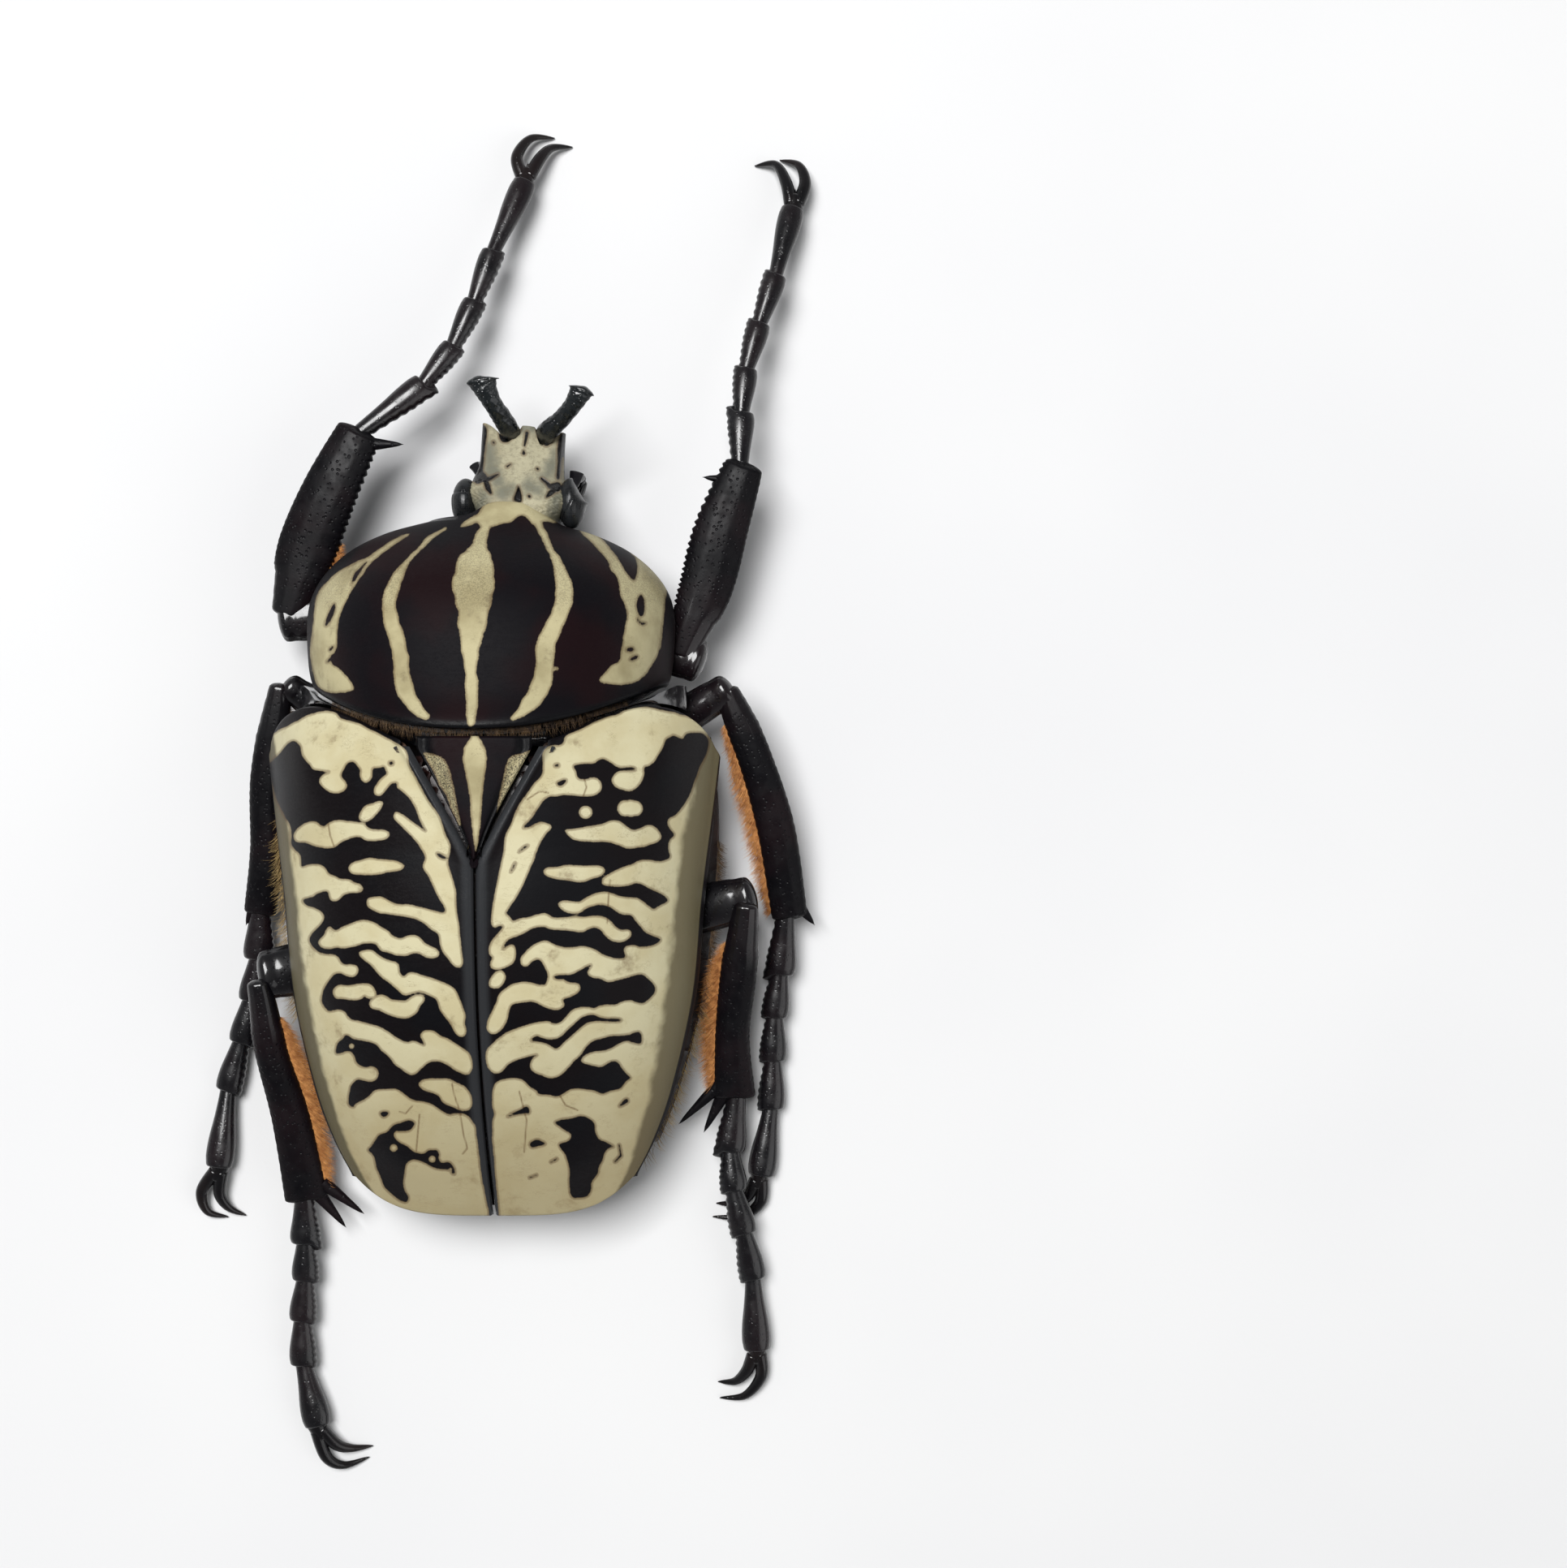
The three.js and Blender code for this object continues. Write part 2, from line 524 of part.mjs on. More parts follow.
// Tarsus: five segments, each widening to its far end
const tarsus = (leg) => {
  const joints = leg.tarsus;
  const curve = route(joints);
  const rings = 3;
  return limb(curve, 6, 5 * rings, (t) => {
    const place = t * 5;
    const segment = Math.min(Math.floor(place + 1e-6), 4);
    const within = place - segment;
    const last = segment === 4;
    const half = last ? 0.62 + 0.38 * within : 0.72 + 0.52 * Math.sin(0.5 * Math.PI * within);
    return [half, 0.62 + (last ? 0.15 : 0.25) * within];
  });
};

// Claws: the curved pair at the tip, resting on the floor
const claws = (leg) => {
  const pair = leg.claws.map((points) => limb(route(points), 5, 3, (t) => {
    const radius = CLAW_RADIUS - 0.25 * t;
    return [radius, radius];
  }));
  const root = leg.claws[0][0].map((value, i) => (value + leg.claws[1][0][i]) / 2);
  const knuckle = shaped(new THREE.SphereGeometry(0.6, 6, 4), (old) => [
    root[0] + old.x,
    root[1] + old.y,
    Math.max(root[2] + old.z, 0),
  ]);
  return joined([...pair, knuckle]);
};

// The whole animal, each named piece cut clear of its neighbours
const legList = Object.entries(legs);
const headSockets = [horn(0.3), eye(-1, 0.3), eye(1, 0.3), antenna(-1, 0.3), antenna(1, 0.3)];
const hollows = legList.flatMap(([, leg]) => [coxa(leg, PIECE_GAP), femur(leg, PIECE_GAP)]);

add('elytron_left', elytron(-1), creamShell);
add('elytron_right', elytron(1), creamShell);
add('scutellum', scutellum, blackShell);
add('mesothorax', cutBy(mesothorax, hollows), glossBlack);
add('thorax', cutBy(thoraxBlank, hollows), glossBlack);
add('abdomen', cutBy(abdomenBlank, hollows), glossBlack);
add('pygidium', pygidium, blackShell);
add('pronotum', cutBy(pronotumBlank, hollows), blackShell);
add('prosternum', cutBy(prosternumBlank, hollows), glossBlack);
add('head', cutBy(headBlank, headSockets), creamShell);
add('horn', horn(0), glossBlack);
add('eye_left', eye(-1, 0), eyeBlack);
add('eye_right', eye(1, 0), eyeBlack);
add('antenna_left', antenna(-1, 0), glossBlack);
add('antenna_right', antenna(1, 0), glossBlack);
add('mouthparts', mouthparts(), glossBlack);

for (const [name, leg] of legList) {
  const femurSolid = cutBy(femur(leg, 0), [coxa(leg, 0.3)]);
  add(`leg_${name}_coxa`, coxa(leg, 0), glossBlack);
  add(`leg_${name}_femur`, femurSolid, glossBlack);
  add(`leg_${name}_tibia`, tibia(leg), glossBlack);
  add(`leg_${name}_tarsus`, tarsus(leg), glossBlack);
  add(`leg_${name}_claws`, claws(leg), glossBlack);
}

export default beetle;
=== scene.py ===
import math

import bpy
import numpy as np
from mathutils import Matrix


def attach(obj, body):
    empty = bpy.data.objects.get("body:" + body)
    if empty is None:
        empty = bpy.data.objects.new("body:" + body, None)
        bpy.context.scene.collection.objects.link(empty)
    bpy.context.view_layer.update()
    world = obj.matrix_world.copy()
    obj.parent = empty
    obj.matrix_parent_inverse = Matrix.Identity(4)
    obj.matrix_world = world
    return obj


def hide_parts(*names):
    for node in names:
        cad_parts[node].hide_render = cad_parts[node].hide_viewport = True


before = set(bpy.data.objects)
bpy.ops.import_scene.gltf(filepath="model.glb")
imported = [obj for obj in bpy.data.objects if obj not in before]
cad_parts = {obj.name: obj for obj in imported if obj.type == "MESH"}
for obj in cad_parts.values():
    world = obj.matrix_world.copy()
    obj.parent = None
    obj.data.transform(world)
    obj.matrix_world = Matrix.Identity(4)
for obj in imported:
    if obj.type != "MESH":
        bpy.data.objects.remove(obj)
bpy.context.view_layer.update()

# Floor, light and camera: a pale tabletop under one large soft light from the upper
# left and a weaker one from the right, seen from straight above as in the photograph.
MM = 0.001
PHOTO_WIDTH = 1931
PHOTO_MIDDLE = (965.5, 966.0)
PIXEL_ON_FLOOR = 0.0911
FLOOR_SIZE = 3
CAMERA_PLACE = (31.0, 8.5, 250.0)
SENSOR = 36.0


def deselect():
    bpy.ops.object.select_all(action="DESELECT")


def add_node(tree, kind, inputs=(), **settings):
    """One shader node, its settings, and a value or a link for each input."""
    made = tree.nodes.new("ShaderNode" + kind)
    for key, value in settings.items():
        setattr(made, key, value)
    for key, value in dict(inputs).items():
        if isinstance(value, bpy.types.NodeSocket):
            tree.links.new(value, made.inputs[key])
        else:
            made.inputs[key].default_value = value
    return made


def grey(level):
    """A grey of a plain level, for mixing roughness."""
    return (level, level, level, 1)


def colour(red, green, blue):
    """A shader colour from a colour as a screen shows it, 0 to 255."""
    parts = [part / 255 for part in (red, green, blue)]
    return tuple(p / 12.92 if p <= 0.04045 else ((p + 0.055) / 1.055) ** 2.4 for p in parts) + (1.0,)


def calculate(tree, operation, *values):
    return add_node(tree, "Math", dict(enumerate(values)), operation=operation).outputs[0]


def mixed(tree, factor, first, second, blend="MIX"):
    made = add_node(tree, "Mix", {0: factor, 6: first, 7: second}, data_type="RGBA", blend_type=blend)
    return made.outputs[2]


def rising(tree, value, low, high, start=0.0, end=1.0):
    """start below low and end above high, with a smooth step between."""
    inputs = {"Value": value, "From Min": low, "From Max": high, "To Min": start, "To Max": end}
    made = add_node(tree, "MapRange", inputs, interpolation_type="SMOOTHSTEP")
    return made.outputs[0]


def noise_of(tree, where, scale, detail=2.0, rough=0.5, stretch=(1, 1, 1), output=0):
    """Soft noise on object coordinates: scale is in lumps to the metre."""
    spread = add_node(tree, "Mapping", {"Vector": where, "Scale": stretch}).outputs[0]
    inputs = {"Vector": spread, "Scale": scale, "Detail": detail, "Roughness": rough}
    return add_node(tree, "TexNoise", inputs).outputs[output]


def bump_of(tree, height, strength, depth):
    inputs = {"Height": height, "Strength": strength, "Distance": depth * MM}
    return add_node(tree, "Bump", inputs).outputs[0]


def new_material(name):
    """A node material: its tree, its surface shader and its object coordinates."""
    made = bpy.data.materials.new(name)
    made.use_nodes = True
    tree = made.node_tree
    where = add_node(tree, "TexCoord").outputs["Object"]
    return made, tree, tree.nodes["Principled BSDF"], where


def feed(tree, shader, **inputs):
    """Values and links for the shader's sockets, named with _ for a space."""
    for key, value in inputs.items():
        socket = shader.inputs[key.replace("_", " ")]
        if isinstance(value, bpy.types.NodeSocket):
            tree.links.new(value, socket)
        else:
            socket.default_value = value


deselect()
bpy.ops.mesh.primitive_plane_add(size=FLOOR_SIZE)
floor = bpy.context.object
floor.name = "floor"
floor_paper, tree, shader, where = new_material("floor_paper")
clouds = rising(tree, noise_of(tree, where, 9, 3), 0.3, 0.7)
paper = mixed(tree, clouds, colour(212, 212, 213), colour(218, 218, 218))
fibres = noise_of(tree, where, 2500, 2)
feed(tree, shader, Base_Color=paper, Roughness=0.7, Normal=bump_of(tree, fibres, 0.1, 0.05))
shader.inputs["Specular IOR Level"].default_value = 0.2
floor.data.materials.append(floor_paper)

world = bpy.data.worlds.new("studio")
bpy.context.scene.world = world
world.use_nodes = True
bpy.context.scene.view_settings.view_transform = "Standard"
sky = world.node_tree
direction = add_node(sky, "TexCoord").outputs["Generated"]
upwards = add_node(sky, "SeparateXYZ", {0: direction}).outputs[2]
# bright round the horizon and dark overhead, so that black shell stays black
strength = rising(sky, upwards, 0.25, 0.85, 0.34, 0.10)
sky.links.new(strength, sky.nodes["Background"].inputs["Strength"])
sky.nodes["Background"].inputs["Color"].default_value = (0.96, 0.98, 1.0, 1.0)


def soft_light(name, place, size, power):
    """A square light panel turned towards the middle of the animal."""
    deselect()
    bpy.ops.object.light_add(type="AREA", location=place)
    light = bpy.context.object
    light.name = name
    light.data.size = size
    light.data.energy = power
    light.rotation_euler = (-light.location).to_track_quat("-Z", "Y").to_euler()


soft_light("window_light", place=(-0.15, 0.24, 0.84), size=0.42, power=10.1)
soft_light("fill_light", place=(0.60, -0.25, 0.55), size=0.6, power=1.2)

bpy.ops.object.camera_add(location=[part * MM for part in CAMERA_PLACE], rotation=(0, 0, 0))
camera = bpy.context.object
camera.name = "camera"
camera.data.sensor_fit = "HORIZONTAL"
camera.data.sensor_width = SENSOR
camera.data.lens = SENSOR * CAMERA_PLACE[2] / (PHOTO_WIDTH * PIXEL_ON_FLOOR)
camera.data.clip_start = 0.01
bpy.context.scene.camera = camera

# Elytra: the two hard wing cases, thin arched shells that meet along the back. They are
# black under a cream bloom that is worn off in bars, and hinge under the collar.
ELYTRA_FRONT_Y = 12.1
ELYTRA_REAR_Y = -38.0
SHOULDER_Y = 11.5
SHOULDER_REACH = 4.9
REAR_CORNER_Y = -33.6
SUTURE_HALF = 0.13
SCUTELLUM_TIP_Y = 0.3
SCUTELLUM_HALF = 6.6
SHELL_THICKNESS = 0.8
RIM_RADIUS = 0.45
EDGE_CROWDING = 1.45
FAR_OUTSIDE = -60.0


def mix(a, b, t):
    return a + (b - a) * t


def ramp(value, start, length):
    """0 up to start, then rising evenly to 1 over length."""
    return np.clip((value - start) / length, 0, 1)


def hump(value, middle, width):
    """A rounded hump, 1 high at middle and fading over width on each side."""
    return np.exp(-((value - middle) / width) ** 2)


def unit(vectors):
    return vectors / np.linalg.norm(vectors, axis=1)[:, None]


def crowded(u):
    """u from 0 to 1, with the steps made finer towards 1."""
    return 1 - (1 - u) ** EDGE_CROWDING


def profile(stations):
    """A smooth curve through (y, value) stations, as a function of y."""
    points = np.array([stations[0], *stations, stations[-1]], float)
    t = np.linspace(0, 1, 30)[:, None]
    runs = []
    for a, b, c, d in zip(points, points[1:], points[2:], points[3:]):
        bend = (2 * a - 5 * b + 4 * c - d) * t**2 + (3 * b - a - 3 * c + d) * t**3
        runs.append(0.5 * (2 * b + (c - a) * t + bend))
    curve = np.concatenate(runs)
    return lambda y: np.interp(y, curve[:, 0], curve[:, 1])


elytra_crest = profile([
    (-38.2, 11.0), (-35, 13.6), (-30, 17.2), (-24, 20.9), (-15, 24.8), (-4, 26.8), (12.2, 27.2),
])
elytra_half_width = profile([
    (-33.7, 14.9), (-30, 16.9), (-24, 19.1), (-14, 21.4), (-4, 22.3), (4, 23.2), (11.6, 24.0),
])
elytra_margin_z = profile([(-33.7, 11.2), (-15, 10.4), (11.6, 10.6)])


def inner_edge_x(y):
    past_tip = np.clip((y - SCUTELLUM_TIP_Y) / (ELYTRA_FRONT_Y - SCUTELLUM_TIP_Y), 0, 1)
    return SUTURE_HALF + SCUTELLUM_HALF * past_tip**1.15


def elytron_surface(u, v):
    """u runs from the inner edge to the outer margin, v from the base to the rear."""
    inner_y = mix(ELYTRA_FRONT_Y, ELYTRA_REAR_Y, v)
    outer_y = mix(SHOULDER_Y, REAR_CORNER_Y, v)
    shoulder = np.maximum(np.sin(math.pi * u**1.7), 0) ** 0.55
    x = mix(inner_edge_x(inner_y), elytra_half_width(outer_y), u)
    y = mix(inner_y, outer_y, u) + SHOULDER_REACH * shoulder * (1 - v) ** 3
    y += (REAR_CORNER_Y - ELYTRA_REAR_Y) * (u**4 - u) * v**3
    arch = np.maximum(1 - u**2.4, 0) ** 0.55
    z = mix(elytra_margin_z(outer_y), elytra_crest(inner_y), arch) - 3.2 * (1 - v) ** 9 * shoulder
    callus = np.exp(-((u - 0.74) / 0.13) ** 2 - ((v - 0.10) / 0.07) ** 2)
    rear_callus = np.exp(-((u - 0.50) / 0.16) ** 2 - ((v - 0.88) / 0.06) ** 2)
    ridge = hump(u, 0.05, 0.03) * np.clip(1.3 - 4.5 * v, 0, 1)
    z = z + 0.45 * callus + 0.4 * rear_callus + 0.35 * ridge
    flange = 0.32 * ramp(u, 0.985, 0.015) ** 2
    return np.stack([x + flange, y, z], -1)


def normal_of(surface, u, v, step=0.004):
    """Unit normals of surface(u, v), on the side that faces up."""
    u0, u1 = np.clip(u - step, 0, 1), np.clip(u + step, 0, 1)
    v0, v1 = np.clip(v - step, 0, 1), np.clip(v + step, 0, 1)
    normal = np.cross(surface(u1, v) - surface(u0, v), surface(u, v1) - surface(u, v0))
    normal /= np.linalg.norm(normal, axis=1)[:, None] + 1e-12
    return normal * np.where(normal[:, 2:] < 0, -1, 1)


def gap_to_border(surface, u, v, points):
    """How far each of the points is from the nearest border of surface(u, v)."""
    ends = (surface(0 * u, v), surface(0 * u + 1, v), surface(u, 0 * v), surface(u, 0 * v + 1))
    return np.min([np.linalg.norm(points - end, axis=1) for end in ends], axis=0)


def rolled_edge(surface, u, v, radius):
    """surface(u, v) with its border rolled down to a rounded rim of that radius."""
    points = surface(u, v)
    past = 1 - np.clip(gap_to_border(surface, u, v, points) / radius, 0, 1)
    drop = radius * (1 - np.sqrt(1 - past**2))
    return points - normal_of(surface, u, v) * drop[:, None]


def places_of(piece):
    places = np.zeros(len(piece.data.vertices) * 3)
    piece.data.vertices.foreach_get("co", places)
    return places.reshape(-1, 3)


def move_to(piece, places):
    piece.data.vertices.foreach_set("co", (places * MM).ravel())
    piece.data.update()


def shell_grid(name, columns, rows, place, upwards=True):
    """A grid of quads, each vertex (u, v) of it moved to place(u, v), in millimetres."""
    deselect()
    bpy.ops.mesh.primitive_grid_add(x_subdivisions=columns, y_subdivisions=rows, size=1)
    piece = bpy.context.object
    piece.name = name
    flat = places_of(piece)
    u, v = flat[:, 0] + 0.5, flat[:, 1] + 0.5
    move_to(piece, place(u, v))
    normals = np.zeros(len(piece.data.polygons) * 3)
    piece.data.polygons.foreach_get("normal", normals)
    if (normals[2::3].sum() > 0) != upwards:
        piece.data.flip_normals()
    return piece, u, v


def thicken(piece, thickness, lining):
    """A wall inwards from the surface, whose inside takes the lining's material."""
    wall = piece.modifiers.new("wall", "SOLIDIFY")
    wall.thickness = thickness * MM
    wall.offset = -1
    wall.material_offset = lining
    bpy.context.view_layer.objects.active = piece
    bpy.ops.object.modifier_apply(modifier="wall")


def finish_piece(piece, material, slot, *nodes, angle=50, wall=0, lining=None):
    """Its material, a wall if it is a shell, smooth shading; the model's parts named by nodes are hidden and
    the piece hangs on the root.
    """
    piece.data.materials.append(material)
    if lining:
        piece.data.materials.append(lining)
    if wall:
        thicken(piece, wall, lining=1 if lining else 0)
    deselect()
    piece.select_set(True)
    bpy.context.view_layer.objects.active = piece
    bpy.ops.object.shade_smooth_by_angle(angle=math.radians(angle))
    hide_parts(*nodes)
    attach(piece, "root")


def photo_pixels(points):
    """Where points, in millimetres, lie in the photograph."""
    scale = PIXEL_ON_FLOOR * (CAMERA_PLACE[2] - points[:, 2]) / CAMERA_PLACE[2]
    across = PHOTO_MIDDLE[0] + (points[:, 0] - CAMERA_PLACE[0]) / scale
    return np.stack([across, PHOTO_MIDDLE[1] - (points[:, 1] - CAMERA_PLACE[1]) / scale], 1)


def softened(outline, rounds=2):
    """A closed outline with its corners cut off, rounds times."""
    points = np.array(outline, float)
    for _ in range(rounds):
        after = np.roll(points, -1, axis=0)
        points = np.stack([mix(points, after, 0.25), mix(points, after, 0.75)], 1).reshape(-1, 2)
    return points


def depth_inside(pixels, outline, rounds=2):
    """Distance of each pixel from a patch's outline, above 0 inside it."""
    corners = softened(outline, rounds)
    depth = np.full(len(pixels), FAR_OUTSIDE)
    low, high = corners.min(0) - 30, corners.max(0) + 30
    near = np.flatnonzero(((pixels > low) & (pixels < high)).all(1))
    starts, runs = corners, np.roll(corners, -1, axis=0) - corners
    squares = np.maximum((runs**2).sum(1), 1e-9)
    for part in np.array_split(near, max(1, len(near) // 4000)):
        offset = pixels[part][:, None] - starts
        along = np.clip((offset * runs).sum(2) / squares, 0, 1)
        gap = np.sqrt(((offset - along[..., None] * runs) ** 2).sum(2).min(1))
        over = (starts[:, 1] > pixels[part][:, 1:]) != (starts[:, 1] + runs[:, 1] > pixels[part][:, 1:])
        slope = runs[:, 0] / np.where(runs[:, 1] == 0, 1e-9, runs[:, 1])
        crossing = starts[:, 0] + offset[..., 1] * slope
        inside = (over & (pixels[part][:, :1] < crossing)).sum(1) % 2 == 1
        depth[part] = np.where(inside, gap, -gap)
    return depth


def depth_in_stroke(pixels, stations):
    """Depth in a stroke through (across, down, half width) stations."""
    stroke = np.array(stations, float)
    best = np.full(len(pixels), FAR_OUTSIDE)
    for start, end in zip(stroke, stroke[1:]):
        run = end[:2] - start[:2]
        along = np.clip(((pixels - start[:2]) @ run) / (run @ run), 0, 1)
        gap = np.linalg.norm(pixels - start[:2] - along[:, None] * run, axis=1)
        best = np.maximum(best, mix(start[2], end[2], along) - gap)
    return best


def patterned(pixels, patches, gaps=(), dots=(), lines=()):
    """Depth in cream: patches, less the gaps and lines, with the dots on top."""
    depth = np.full(len(pixels), FAR_OUTSIDE)
    for outline in patches:
        depth = np.maximum(depth, depth_inside(pixels, outline))
    for outline in gaps:
        depth = np.minimum(depth, -depth_inside(pixels, outline))
    for line in lines:
        depth = np.minimum(depth, -depth_in_stroke(pixels, line))
    for across, down, radius in dots:
        depth = np.maximum(depth, radius - np.hypot(pixels[:, 0] - across, pixels[:, 1] - down))
    return depth


def store(piece, name, values):
    """A number for each vertex, which the material reads by name."""
    layer = piece.data.attributes.new(name, "FLOAT", "POINT")
    layer.data.foreach_set("value", np.asarray(values, np.float32))


